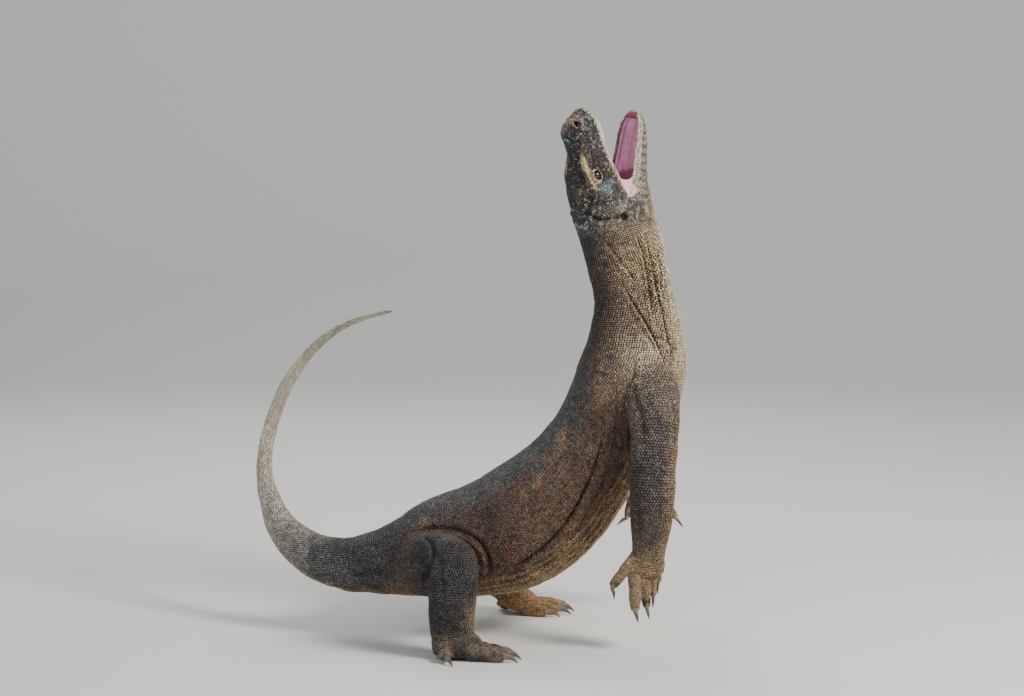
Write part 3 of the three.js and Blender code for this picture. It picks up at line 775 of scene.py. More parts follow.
def make_sculpture(points, normals):
    """How far each point of the skin moves along its normal."""
    move = np.zeros(len(points))
    for name, start_at, end_at, bow, depth, width, lean in FOLDS:
        t, degrees = fold_route(start_at, end_at, bow)
        for line in both_sides(name, t, degrees):
            reach = width * SKIN_REACH
            near = np.flatnonzero(((points > line.min(0) - reach) & (points < line.max(0) + reach)).all(1))
            if not len(near):
                continue
            near_at = points[near]
            step = np.diff(line, axis=0)
            length = np.linalg.norm(step, axis=1)
            best = np.full(len(near), 1e9)
            share = np.zeros(len(near))
            bank = np.zeros(len(near))
            gone = 0.0
            for start, along, size in zip(line[:-1], step, length):
                f = np.clip(((near_at - start) @ along) / max(size * size, 1e-9), 0, 1)
                off = near_at - (start + f[:, None] * along)
                gap = np.linalg.norm(off, axis=1)
                closer = gap < best
                best = np.where(closer, gap, best)
                share = np.where(closer, (gone + f * size) / length.sum(), share)
                side = (np.cross(along[None], normals[near]) * off).sum(1)
                bank = np.where(closer, np.sign(side), bank)
                gone += size
            wobble = 1 + 0.22 * noise(near_at, 22, 5)
            x = best / (width * wobble)
            taper = rise(share, 0, 0.22) * rise(1 - share, 0, 0.22)
            if depth > 0:
                shape = np.exp(-1.7 * x ** 1.25) - 0.34 * (1 + lean * bank) * np.exp(-((x - 1.35) / 0.6) ** 2)
            else:
                shape = np.exp(-x * x * 1.4)
            move[near] -= depth * taper * shape * (1 + 0.25 * noise(near_at, 40, 6))
    for name, t, degrees, height, radius in MUSCLES:
        for centre in both_sides(name, np.array([float(t)]), np.array([float(degrees)])):
            gap = ((points - centre[0]) ** 2).sum(1) / radius ** 2
            near = gap < 4
            move[near] += height * np.exp(-1.6 * gap[near]) - height * math.exp(-6.4)
    return move


def inside_mouth(points):
    inside = np.zeros(len(points), bool)
    near = np.flatnonzero(np.linalg.norm(points - MID_EYE, axis=1) < 260)
    for hollow in (VAULT, HOLLOW):
        inside[near] |= hollow.locate(points[near])[2] < 1.2
    return inside


def normals_of(mesh):
    flat = np.empty(len(mesh.vertices) * 3, np.float32)
    mesh.vertex_normals.foreach_get("vector", flat)
    return flat.reshape(-1, 3).astype(float)


LID_EDGE = 7.4
LID_TOP = 51.2


def from_eye(local):
    """How far points of the head are from the eye along its opening, across it, and by its oval."""
    du, dz = local[:, 0] - EYE_SPOT[0], local[:, 2] - EYE_SPOT[2]
    slant = rad(25)
    along = du * math.cos(slant) + dz * math.sin(slant)
    across = -du * math.sin(slant) + dz * math.cos(slant)
    return along, across, np.hypot(along / 1.24, across / 0.86)


def shape_eyes(points):
    """Sockets, lids and the creases round them, in the head's own frame."""
    local = into(HEAD, points)
    side = np.sign(local[:, 1])
    along, across, r = from_eye(local)
    near = (r < 30) & (np.abs(local[:, 1]) > 20)
    y = np.abs(local[:, 1])
    lid = LID_TOP + 0.9 * rise(across, -4, 10)
    socket = rise(LID_EDGE + 0.6 - r, -0.8, 1.6)
    ring = np.exp(-((r - 10.4) / 1.7) ** 2) * (0.65 + 0.5 * rise(across, -6, 8))
    hold = rise(17 - r, 0, 4)
    to_lid = (lid - y) * hold
    y_new = y + to_lid + ring * 1.5
    y_new -= 1.3 * np.exp(-((r - 14.2) / 1.0) ** 2) * (0.6 + 0.4 * rise(-along, -8, 8))
    y_new += 0.8 * np.exp(-((r - 16.6) / 1.3) ** 2)
    y_new -= 1.0 * np.exp(-((r - 19.2) / 1.2) ** 2) * rise(-along, -4, 10)
    y_new = y_new * (1 - socket) + 43.5 * socket
    local[near, 1] = (side * y_new)[near]
    return carry(HEAD, local)


def shape_holes(points, normals):
    """Nostrils and ears: an oval pit inside a raised rim."""
    local = into(HEAD, points)
    inward = normals @ HEAD[:3, :3]
    for spot, long_way, short_way, deep, rim, slant in (
        (NOSTRIL_SPOT, 8.4, 5.0, 10, 2.2, -12), (EAR_SPOT, 13, 6.5, 11, 1.4, -63),
    ):
        du, dz = local[:, 0] - spot[0], local[:, 2] - spot[2]
        dy = np.abs(local[:, 1]) - spot[1]
        c, s = math.cos(rad(slant)), math.sin(rad(slant))
        r = np.sqrt(((du * c + dz * s) / long_way) ** 2 + ((-du * s + dz * c) / short_way) ** 2)
        close = (np.abs(dy) < 16) & (r < 3)
        move = rim * np.exp(-((r - 1.35) / 0.35) ** 2) - deep * rise(1.05 - r, 0, 0.6)
        local[close] += inward[close] * move[close, None]
    return carry(HEAD, local)


skin_normals = normals_of(flesh.data)
skin_move = make_sculpture(skin_at, skin_normals)
in_mouth = inside_mouth(skin_at)
on_body = owned_by("spine")
# Fine wrinkles across the neck, the trunk and the limbs, and lumps of fat and muscle under them.
wrap = np.stack([skin_where[:, 0] * 34, skin_where[:, 1] * 26, skin_owner * 90.0], 1)
fine = noise(wrap, (7, 60, 40), 1) + 0.6 * noise(skin_at, 9, 2)
lumps = noise(skin_at, 34, 3) + 0.5 * noise(skin_at, 17, 4)
on_face = owned_by("skull", "jaw")
skin_move += fine * np.where(on_face, 0.25, np.where(on_body, 0.55, 0.45))
skin_move += lumps * np.where(on_face, 0.5, np.where(on_body, 1.1, 0.8))
skin_move[in_mouth] = 0
paw_skin = owned_by("hand_", "foot_")
skin_move[paw_skin] *= 0.5
skin_at = skin_at + skin_normals * np.clip(skin_move, DEEPEST, HIGHEST)[:, None]
skin_at = shape_holes(skin_at, skin_normals)
skin_at = shape_eyes(skin_at)
SOLE = 0.6
skin_at[:, 2] = np.maximum(skin_at[:, 2], SOLE)
set_positions(flesh.data, to_row(skin_at))

# ------------------------------------------------------------------ fewer triangles, and the finished skin

SKIN_TRIANGLES = 190000


def tree_of(points):
    tree = KDTree(len(points))
    for number, point in enumerate(points.tolist()):
        tree.insert(point, number)
    tree.balance()
    return tree


def thin_out(thing):
    """Brings the skin under its share of triangles and keeps the head and the paws fine."""
    keep = thing.vertex_groups.new(name="keep")
    for part, weight in ((on_face, 1.0), (paw_skin, 0.7)):
        keep.add(np.flatnonzero(part).tolist(), weight, "REPLACE")
    now = sum(len(p.vertices) - 2 for p in thing.data.polygons)
    if now > SKIN_TRIANGLES:
        change = thing.modifiers.new("thin", "DECIMATE")
        change.ratio = SKIN_TRIANGLES / now
        change.vertex_group, change.invert_vertex_group = "keep", True
        apply_modifiers(thing)
    thing.vertex_groups.clear()
    smooth(thing.data)


fine_skin = tree_of(skin_at)
thin_out(flesh)
skin_at = positions(flesh.data) / MM - SHIFT
skin_owner, skin_where, skin_away, skin_other, skin_second = owners(skin_at)
skin_normals = normals_of(flesh.data)
flesh_faces = [list(p.vertices) for p in flesh.data.polygons]
flesh_tree = BVHTree.FromPolygons(skin_at.tolist(), flesh_faces)
corners = np.array([face[:3] for face in flesh_faces])
source = [fine_skin.find(p)[1] for p in skin_at.tolist()]
in_mouth, skin_move = in_mouth[source], skin_move[source]

# ------------------------------------------------------------------ colours


def shade(red, green, blue):
    """A colour given as the eye reads it, 0 to 255, in the linear values of a shader."""
    c = np.array([red, green, blue]) / 255
    return np.where(c <= 0.04045, c / 12.92, ((c + 0.055) / 1.055) ** 2.4)


SLATE = shade(82, 84, 87)
CHARCOAL = shade(50, 52, 57)
UMBER = shade(90, 73, 60)
CLAY = shade(126, 108, 88)
RUST = shade(128, 76, 48)
TAN = shade(164, 138, 104)
OCHRE = shade(160, 128, 88)
CREAM = shade(214, 202, 176)
STONE = shade(164, 157, 142)
BLACKISH = shade(40, 41, 44)
BLUEGREY = shade(126, 140, 144)
ROSY = shade(166, 108, 98)
SUNLIT_GOLDEN = shade(168, 130, 86)
STRAW = shade(226, 196, 140)


def blend(a, b, share):
    return a + (b - a) * np.asarray(share)[:, None]


def toned(count, first, second, share):
    """A tone for each of a number of points, blended towards a second one."""
    return blend(np.tile(shade(*first), (count, 1)), shade(*second), share)


class Lie:
    """Where points of the coat lie on their tube, and the lumps of noise that its markings are made of."""

    def __init__(self, where, at, seed):
        self.n = len(at)
        self.t, self.angle = where[:, 0], np.degrees(where[:, 1])
        self.round_by = np.abs(self.angle)
        self.big, self.mid, self.small = noise(at, 90, 11), noise(at, 26, 12), noise(at, 9, 13)
        self.speck = noise(at, 4.4, 14 + seed)

    def flat(self, tone):
        return np.tile(tone, (self.n, 1))

    def patch(self, t, long_way, degrees, wide):
        """A soft patch on both sides, 1 at its middle."""
        return np.exp(-(((self.t - t) / long_way) ** 2 + ((self.round_by - degrees) / wide) ** 2))


def trunk_tint(c):
    """Slate back, flanks flecked with rust, ochre belly."""
    body = blend(c.flat(SLATE), UMBER, 0.2 + 0.8 * rise(c.round_by + 22 * c.mid + 10 * c.small, 14, 84))
    fleck = rise(c.small + 0.9 * c.speck, 0.0, 0.9)
    fleck = fleck * rise(c.round_by, 26, 60) * rise(158 - c.round_by, 0, 40)
    body = blend(body, RUST, 0.5 * fleck)
    body = blend(body, CHARCOAL, 0.6 * rise(0.6 * c.small - c.speck, 0.0, 0.8))
    body = blend(body, OCHRE, rise(c.round_by + 14 * c.mid + 6 * c.small, 112, 148) * 0.6)
    stripe = rise(np.sin(c.round_by * 0.62 + 1.4 * c.mid), 0.1, 0.9) * rise(c.round_by, 112, 128)
    body = blend(body, TAN, stripe * 0.55)
    body = blend(body, CREAM, rise(c.round_by + 9 * c.small, 150, 174) * 0.35)
    body = blend(body, TAN, 0.35 * rise(c.big + c.mid, 0.5, 1.2))
    return body


def neck_tint(c):
    """Shoulders, neck and throat: clay, darker on the nape with painted shade, paler in the light folds of
    the throat partly with painted sunlight, and with soft patches of painted sunlight.
    """
    # Painted shade: the nape, on top of the neck, is darkened towards charcoal.
    neck = blend(c.flat(UMBER), CHARCOAL, 0.5 * rise(60 - c.round_by, 0, 50))
    neck = blend(neck, CLAY, rise(c.round_by + 18 * c.mid, 44, 84))
    dark = rise(0.8 * c.small - c.speck, 0.0, 0.9) * rise(170 - c.round_by, 0, 60)
    neck = blend(neck, CHARCOAL, 0.5 * dark)
    neck = blend(neck, TAN, rise(c.round_by + 18 * c.mid, 80, 120) * 0.6)
    # The throat is paler towards cream: partly its own paler hide, partly painted sunlight.
    throat = rise(c.round_by + 14 * c.small, 112, 146) * (0.4 + 0.25 * rise(c.t, 20.6, 22.4))
    neck = blend(neck, CREAM, throat)
    # Painted sunlight: soft patches of stone on the shoulder, tan high on the neck and cream at the front of
    # the chest.
    neck = blend(neck, STONE, 0.25 * c.patch(20.2, 0.7, 88, 30))
    neck = blend(neck, TAN, 0.7 * c.patch(22.6, 0.28, 74, 14))
    return blend(neck, CREAM, 0.5 * c.patch(20.3, 0.3, 100, 16))


def tail_tint(c):
    """Grey, and paler towards the tip: partly its own paler hide, partly painted sunlight."""
    tail = blend(c.flat(CHARCOAL), SLATE, 0.5 + 0.5 * rise(c.mid, -0.4, 0.6))
    tail = blend(tail, UMBER, 0.5 * rise(c.small, -0.3, 0.8))
    tail = blend(tail, OCHRE, rise(c.round_by + 12 * c.mid, 118, 158) * 0.55)
    # Towards the tip the tail turns stone and cream: partly its own paler hide, partly painted sunlight.
    tail = blend(tail, STONE, rise(10.2 - c.t + 0.4 * c.mid, 0, 3.0) * 0.9)
    tail = blend(tail, CREAM, rise(8.8 - c.t, 0, 3.0) * (0.5 + 0.2 * c.small))
    return tail


def spine_tint(c):
    body = blend(trunk_tint(c), neck_tint(c), rise(c.t + 0.35 * c.mid, 18.6, 20.6))
    return blend(tail_tint(c), body, rise(c.t + 0.35 * c.mid, 10.8, 12.8))


def limb_tint(c):
    limb = blend(c.flat(CHARCOAL), SLATE, rise(c.mid + 0.7 * c.small, -0.6, 0.9) * 0.6)
    limb = blend(limb, BLACKISH, 0.5 * rise(0.5 * c.small - c.speck, 0.2, 0.9))
    return limb


def lit_front_of(c):
    """How far points of a limb face ahead, 0 to 1, which sets how much painted sunlight its front takes."""
    return rise(np.cos(np.radians(c.angle)) + 0.2 * c.small, 0.15, 0.95)


def arm_tint(c):
    limb, front = limb_tint(c), lit_front_of(c)
    arm = blend(blend(limb, SLATE, 0.5 + 0.3 * c.mid), UMBER, 0.3 + 0.3 * rise(c.small, -0.4, 0.6))
    # The upper arm is clay with paler stone: partly its own colour, partly a painted highlight.
    upper = blend(c.flat(CLAY), STONE, 0.25 + 0.25 * c.small)
    arm = blend(arm, upper, rise(4.2 - c.t + 0.8 * c.mid, 0, 4.4) * 0.75)
    # Painted sunlight: tan on the front of the arm.
    arm = blend(arm, TAN, front * rise(c.t, 1.0, 4.0) * 0.5)
    arm = blend(arm, UMBER, rise(c.t + 0.5 * c.mid, 4.4, 7.5) * 0.5)
    arm = blend(arm, TAN, rise(c.t + 0.5 * c.mid, 6.8, 9.6) * 0.6)
    return arm


def leg_tint(c):
    limb, front = limb_tint(c), lit_front_of(c)
    # The lower leg is dimmed to 0.8 of the limb's tint: painted shade.
    leg = blend(limb * 0.8, UMBER, 0.15 + 0.3 * rise(c.small, -0.2, 0.7))
    # Painted sunlight: tan on the front of the lower leg.
    leg = blend(leg, TAN, front * rise(c.t + 0.4 * c.mid, 2.4, 4.8) * 0.5)
    leg = blend(leg, TAN, rise(c.t + 0.4 * c.mid, 4.4, 6.0) * 0.2)
    return leg


def thigh_tint(c):
    limb = limb_tint(c)
    # The thigh is dimmed to 0.8 of the limb's tint: painted shade.
    thigh = blend(limb * 0.8, UMBER, 0.3 * rise(c.small + c.mid, -0.3, 0.9))
    upper = blend(c.flat(UMBER), CHARCOAL, 0.6 * rise(c.small - c.speck, -0.2, 0.9))
    thigh = blend(thigh, upper, rise(2.7 - c.t, 0, 1.5) * 0.85)
    return thigh


def paw_tint(c):
    paw = blend(c.flat(TAN), UMBER, 0.3 + 0.5 * rise(c.mid + c.small, -0.2, 0.8))
    paw = blend(paw, CHARCOAL, 0.5 * rise(c.small + 0.8 * c.mid, -0.1, 1.0))
    paw = blend(paw, CREAM, 0.35 * rise(c.speck, 0.2, 0.9))
    return paw


def head_tint(c, at):
    """Near black with pale flecks, partly tinted blue-grey as a painted sky reflection, clay behind, cream
    lips, an ochre brow.
    """
    local = into(HEAD, at)
    u, y, z = local[:, 0], np.abs(local[:, 1]), local[:, 2]
    # The pale flecks are tinted blue-grey: partly the head's own flecks, partly a painted sky reflection.
    head = blend(c.flat(BLACKISH), BLUEGREY, 0.6 * rise(c.speck + 0.5 * c.small, 0.25, 0.9))
    head = blend(head, UMBER, 0.15 + 0.4 * rise(c.mid, -0.3, 0.8))
    head = blend(head, STONE, 0.4 * rise(c.speck - c.small, 0.5, 1.1))
    rear = rise(26 - u + 10 * c.mid, 0, 56)
    nape = blend(c.flat(SLATE), CHARCOAL, 0.3 + 0.7 * rise(c.small - c.speck, -0.4, 0.7))
    head = blend(head, nape, rear * 0.75)
    head = blend(head, CLAY, rear * rise(y, 34, 56) * 0.4)
    edge = rise(c.round_by + 4 * c.small, 88, 100) * rise(c.t, 3.0, 4.4)
    lip = blend(c.flat(TAN), CREAM, rise(u, 60, 150) * 0.7)
    head = blend(head, lip, edge * (0.55 + 0.3 * rise(c.speck, -0.4, 0.4)))
    slope = 46 + (u - 92) * 0.14
    brow = np.exp(-(((u - 88) / 34) ** 4 + ((z - slope) / 4.6) ** 2)) * rise(y, 24, 34)
    head = blend(head, blend(c.flat(OCHRE), STRAW, 0.7 + 0.3 * c.small), np.clip(brow * 1.8, 0, 0.97))
    across, oval = from_eye(local)[1:]
    outer = rise(y, 34, 42)
    lid = np.exp(-((oval - 10.4) / 2.4) ** 2) * outer * (0.4 + 0.6 * rise(across, -8, 8))
    lid += rise(oval, 8, 10) * rise(19 - oval, 0, 5) * rise(across, 1, 8) * outer * 0.8
    head = blend(head, blend(c.flat(TAN), CREAM, 0.3 + 0.3 * c.small), np.clip(lid, 0, 0.8))
    # Painted shade: dark rings in the two creases round the eye.
    for far in (13.6, 18.4):
        pit = np.exp(-((oval - far) / 1.5) ** 2) * outer * rise(6 - across, 0, 8)
        head = blend(head, BLACKISH, np.clip(pit, 0, 0.9))
    # A soft blue-grey spot behind the eye: painted sky reflection.
    behind = np.exp(-(((u - 46) / 14) ** 2 + ((z - 18) / 12) ** 2)) * rise(y, 30, 40)
    head = blend(head, BLUEGREY, np.clip(behind, 0, 0.5))
    sweep_by = np.sin(0.3 * (u * 0.55 + z) + 1.6 * c.mid)
    flecked = rise(sweep_by, 0.3, 0.95) * rise(44 - u, 0, 26) * rise(c.speck, -0.4, 0.4)
    head = blend(head, CREAM, 0.26 * flecked)
    bulge = np.exp(-(((u - 2) / 22) ** 2 + ((z + 8) / 22) ** 2)) * rise(y, 30, 44)
    head = blend(head, STONE, np.clip(bulge * 0.6, 0, 0.6) * rise(c.small, -0.6, 0.4))
    head = blend(head, ROSY, rise(u, 190, 206) * rise(z, 22, 44) * 0.7)
    rim = np.exp(-((np.hypot((u - NOSTRIL_SPOT[0]) / 1.4, z - NOSTRIL_SPOT[2]) - 6.4) / 2.4) ** 2)
    head = blend(head, TAN, np.clip(rim, 0, 0.8) * rise(u, 176, 184))
    # Blue-grey flecks on the snout: partly its own flecks, partly a painted sky reflection.
    snout = rise(u + 12 * c.mid, 110, 160) * rise(c.speck + 0.8 * c.small, 0.0, 0.9)
    head = blend(head, BLUEGREY, 0.6 * snout)
    head = blend(head, TAN, 0.5 * rise(u, 150, 195) * rise(c.mid - c.speck, 0.1, 0.9))
    return head


def jaw_tint(c):
    """A pale lip, dark bars below it, and a clay throat with paler streaks."""
    jaw = blend(c.flat(STONE), CLAY, rise(c.round_by + 10 * c.small, 104, 130) * 0.8)
    lip = blend(c.flat(CREAM), BLUEGREY, 0.15 + 0.2 * c.speck)
    jaw = blend(jaw, lip, rise(108 - c.round_by, 0, 12) * 0.9)
    bar = rise(np.sin(c.t * 9 + 2.2 * c.small), 0.1, 0.8)
    bar = bar * rise(c.round_by, 94, 104) * rise(138 - c.round_by, 0, 20)
    jaw = blend(jaw, BLACKISH, bar * 0.6)
    jaw = blend(jaw, TAN, rise(c.round_by + 12 * c.mid, 122, 160) * 0.7)
    jaw = blend(jaw, CREAM, 0.5 * rise(np.sin(c.angle * 0.55 + c.mid), 0.2, 0.9) * rise(c.round_by, 120, 140))
    jaw = blend(jaw, BLACKISH, 0.3 * rise(c.speck, 0.3, 0.9))
    jaw = blend(jaw, UMBER, rise(4.0 - c.t, 0, 2.5) * rise(120 - c.round_by, 0, 30) * 0.75)
    return jaw


def colour_of(owner, where, at, seed=0):
    """The colour of the coat at points of the skin, from what tube they lie on and where on it."""
    c = Lie(where, at, seed)
    name = np.array(TUBE_NAMES)[owner]
    kind = np.array([text.split("_")[0] for text in TUBE_NAMES])[owner]
    colour = c.flat(UMBER)
    leg, paw = leg_tint(c), paw_tint(c)
    for chosen, made in (
        (kind == "spine", spine_tint(c)), (kind == "arm", arm_tint(c)), (kind == "shin", leg),
        (kind == "thigh", thigh_tint(c)), (kind == "hand", paw),
        # The right foot keeps the limb's dark tint, with painted shade; the left foot and the lower left shin
        # are painted golden, with painted sunlight.
        (kind == "foot", blend(limb_tint(c), TAN, 0.1 + 0.35 * rise(c.mid + c.small, -0.3, 0.8))),
        (np.char.startswith(name, "foot_left"), blend(paw, SUNLIT_GOLDEN, np.full(c.n, 0.6))),
        (name == "shin_left", blend(leg, SUNLIT_GOLDEN, rise(c.t, 2, 3.5) * 0.7)),
        (kind == "skull", head_tint(c, at)), (kind == "jaw", jaw_tint(c)),
    ):
        colour[chosen] = made[chosen]
    return colour


DARK = 0.22  # how dark the skin between the scales is
SEAM_WIDE = 26


def crease_shade(move):
    """How much light a fold takes away, from how deep it is."""
    return np.clip(1 + 0.11 * np.minimum(move, 0) + 0.03 * np.maximum(move, 0), 0.38, 1.12)[:, None]


def join_of():
    """How near each point of the skin is to the line where two kinds of tube meet, 0 to 1."""
    kinds = np.array([SEAM_KINDS.get(name.split("_")[0], name.split("_")[0]) for name in TUBE_NAMES])
    apart = skin_second - skin_away
    return np.where(kinds[skin_owner] != kinds[skin_other], rise(SEAM_WIDE - apart, 0, SEAM_WIDE), 0)


def softened(tint, weight, times):
    """Colours run into each other where two parts of the body meet."""
    a, b = edge_ends.T
    n = len(tint)
    count = np.maximum(np.bincount(edge_ends.ravel(), minlength=n), 1)[:, None]
    soft = tint.copy()
    for _ in range(times):
        total = [np.bincount(a, soft[b, i], n) + np.bincount(b, soft[a, i], n) for i in range(3)]
        soft += (np.stack(total, 1) / count - soft) * weight[:, None]
    return soft


def skin_tint():
    tint = coat_tint * DARK * crease_shade(skin_move)
    corner = on_head(MOUTH_CORNER)
    off = np.hypot(skin_at[:, 0] - corner[0], skin_at[:, 2] - corner[2])
    local = into(HEAD, skin_at)
    # Painted shade: the skin inside the ear openings and the nostrils is darkened.
    for spot, gap in ((EAR_SPOT, 7), (NOSTRIL_SPOT, 5)):
        off_hole = np.hypot(local[:, 0] - spot[0], local[:, 2] - spot[2])
        hole_shade = (off_hole < gap) & (np.abs(np.abs(local[:, 1]) - spot[1]) < 20)
        tint[hole_shade] *= 0.3
    lining_tint = toned(len(tint), (160, 86, 104), (214, 176, 184), rise(56 - off, 0, 24))
    tint[in_mouth] = lining_tint[in_mouth]
    return tint


edge_ends = np.zeros(len(flesh.data.edges) * 2, np.int32)
flesh.data.edges.foreach_get("vertices", edge_ends)
edge_ends = edge_ends.reshape(-1, 2)
join = join_of()
coat_tint = softened(colour_of(skin_owner, skin_where, skin_at), join, 60)


def paint(mesh, colours):
    """Keeps one colour for each point of a mesh, for its material to read."""
    layer = mesh.color_attributes.new("tint", "FLOAT_COLOR", "POINT")
    full = np.ones((len(colours), 4), np.float32)
    full[:, :3] = np.clip(colours, 0.002, 0.95)
    layer.data.foreach_set("color", full.ravel())


paint(flesh.data, skin_tint())

# ------------------------------------------------------------------ the coat of scales

# For each tube: spacing of the scales along and round it in mm, and how far they rise as a share of that.
COAT = {
    "spine": (5.1, 5.1, 0.3), "skull": (3.3, 3.3, 0.26), "jaw": (3.6, 3.6, 0.24), "arm": (6.2, 5.8, 0.32),
    "thigh": (5.4, 5.4, 0.3), "shin": (5.4, 5.4, 0.3), "foot": (3.8, 4.8, 0.34), "digit": (3.0, 4.6, 0.36),
}
# How far a scale may stray from its row, as a share of the spacing, and how far off the skin is looked for.
LOOSE = {"spine": 0.2, "skull": 0.42, "jaw": 0.3}
USUAL_LOOSE = 0.24
RAY_REACH = {"spine": 12, "skull": 9, "jaw": 8, "digit": 3, "foot": 5}
USUAL_REACH = 9
LOWEST_SCALE = 2.2


def coat_kind(tube):
    return "digit" if tube.name.count("_") == 2 else tube.name.split("_")[0]


def coat_spacing(tube, t):
    along, around, height = COAT[coat_kind(tube)]
    if tube.name == "spine":
        slim = 0.56 + 0.44 * rise(np.array([t]), 1.0, 8.5)[0]
        neck = 1 + 0.08 * rise(np.array([t]), 19, 21)[0] - 0.2 * rise(np.array([t]), 22.6, 24)[0]
        return along * slim * neck, around * slim * neck, height
    if tube.name.startswith("arm"):
        wrist = 1 - 0.3 * rise(np.array([t]), 4.5, 8)[0]
        return along * wrist, around * (1 - 0.1 * (1 - wrist)), height
    return along, around, height


def run_length(path):
    """The length of a path up to each of its points."""
    return np.concatenate([[0], np.cumsum(np.linalg.norm(np.diff(path, axis=0), axis=1))])


def sites_on(tube):
    """Staggered rows of places for scales: t, angle, and the room for one along and round the tube."""
    fine = np.linspace(0, tube.last, int(tube.last * 40) + 1)
    mid = between(tube.rows, fine)
    gone = run_length(mid[:, :3])
    found = []
    here, count = 1.0, 0
    while here < gone[-1]:
        t = float(np.interp(here, gone, fine))
        along, around, height = coat_spacing(tube, t)
        ring_angle = np.linspace(-math.pi, math.pi, 121)
        ring = tube.points(np.full(121, t), ring_angle)
        length = run_length(ring)
        number = max(5, round(length[-1] / around))
        share = (np.arange(number) + 0.5 * (count % 2)) / number
        angle = np.interp(share * length[-1], length, ring_angle)
        found.append(np.stack([
            np.full(number, t), angle, np.full(number, along), np.full(number, length[-1] / number),
            np.full(number, height),
        ], 1))
        here += along * 0.88
        count += 1
    return with_lips(tube, np.vstack(found))


# Rows of larger scales along the lips: tube, first and last t, degrees of the band, rows, length, width.
LIPS = {"skull": (2.9, 11.6, 92, 119, 3, 4.8, 4.2), "jaw": (3.3, 10.6, 70, 103, 3, 4.6, 4.0)}


def with_lips(tube, sites):
    if tube.name not in LIPS:
        return sites
    first, last, near_edge, far_edge, rows, length, width = LIPS[tube.name]
    round_by = np.degrees(np.abs(sites[:, 1]))
    in_band = (round_by > near_edge) & (round_by < far_edge)
    kept = sites[~((sites[:, 0] > first) & (sites[:, 0] < last) & in_band)]
    fine = np.linspace(first, last, 200)
    added = []
    for line in range(rows):
        middle = near_edge + (far_edge - near_edge) * (line + 0.5) / rows
        path = tube.points(fine, np.full(200, -rad(middle)))
        gone = run_length(path)
        spots = np.interp(np.arange(length * (0.5 + 0.5 * line), gone[-1], length), gone, fine)
        for side in (-1, 1):
            n = len(spots)
            small = 1 - 0.35 * rise(spots, last - 2.5, last)
            angle = np.full(n, side * rad(middle))
            added.append(np.stack([spots, angle, length * small, width * small, np.full(n, 0.2)], 1))
    return np.vstack([kept, *added])


def step_ahead(tube, t, angle, step):
    """The way along a tube at points of its skin."""
    return tube.points(np.minimum(t + step, tube.last), angle) - tube.points(np.maximum(t - step, 0), angle)


def longer(ends):
    """The edges, or faces by their first edge, that are longer than LONG_EDGE."""
    return ends[np.linalg.norm(skin_at[ends[:, 0]] - skin_at[ends[:, 1]], axis=1) > LONG_EDGE]


LONG_EDGE = 3.4
BARE_FROM = 0.62
FILL_APART = 0.66
CELL = 6


def gap_fill(placed, dice):
    """Scales for the bare patches that the rows leave, as between two tubes: laid where the last are far."""
    tree = tree_of(placed)
    room = np.zeros(len(skin_at))
    for number, tube in enumerate(TUBE_LIST):
        mine, fine = skin_owner == number, np.linspace(0, tube.last, 40)
        room[mine] = np.interp(skin_where[mine, 0], fine, [min(coat_spacing(tube, t)[:2]) for t in fine])
    # places to try: the points of the skin, and points along its longer edges and in its wider faces
    a, b = longer(edge_ends).T
    wide = longer(corners)
    roots = np.concatenate([np.arange(len(skin_at)), a, b, wide[:, 0]])
    near_a, near_b = (skin_at[p] * 0.65 + skin_at[q] * 0.35 for p, q in ((a, b), (b, a)))
    spots = np.vstack([skin_at, near_a, near_b, skin_at[wide].mean(1)])
    fit = ~in_mouth[roots] & (spots[:, 2] > LOWEST_SCALE)
    roots, spots = roots[fit], spots[fit]
    clear = np.array([tree.find(p)[2] for p in spots.tolist()])
    bare = np.flatnonzero(clear > BARE_FROM * room[roots])
    taken, chosen = {}, []
    for n in dice.permutation(bare).tolist():
        p, gap = spots[n], FILL_APART * room[roots[n]]
        cell = tuple(int(c // CELL) for c in p)
        near = [q for i in (-1, 0, 1) for j in (-1, 0, 1) for k in (-1, 0, 1)
                for q in taken.get((cell[0] + i, cell[1] + j, cell[2] + k), ())]
        if any((q[0] - p[0]) ** 2 + (q[1] - p[1]) ** 2 + (q[2] - p[2]) ** 2 < gap * gap for q in near):
            continue
        taken.setdefault(cell, []).append(p.tolist())
        chosen.append(n)
    kept = roots[chosen]
    t, angle = skin_where[kept].T
    ahead = np.zeros((len(kept), 3))
    for number, tube in enumerate(TUBE_LIST):
        mine = skin_owner[kept] == number
        ahead[mine] = unit(step_ahead(tube, t[mine], angle[mine], 0.05))
    size = np.minimum(room[kept] * 0.86, clear[chosen] * 1.3)
    return {
        "owner": skin_owner[kept], "where": skin_where[kept], "root": kept,
        "at": spots[chosen], "normal": skin_normals[kept], "ahead": ahead,
        "along": size, "around": size, "height": np.full(len(kept), 0.28),
    }


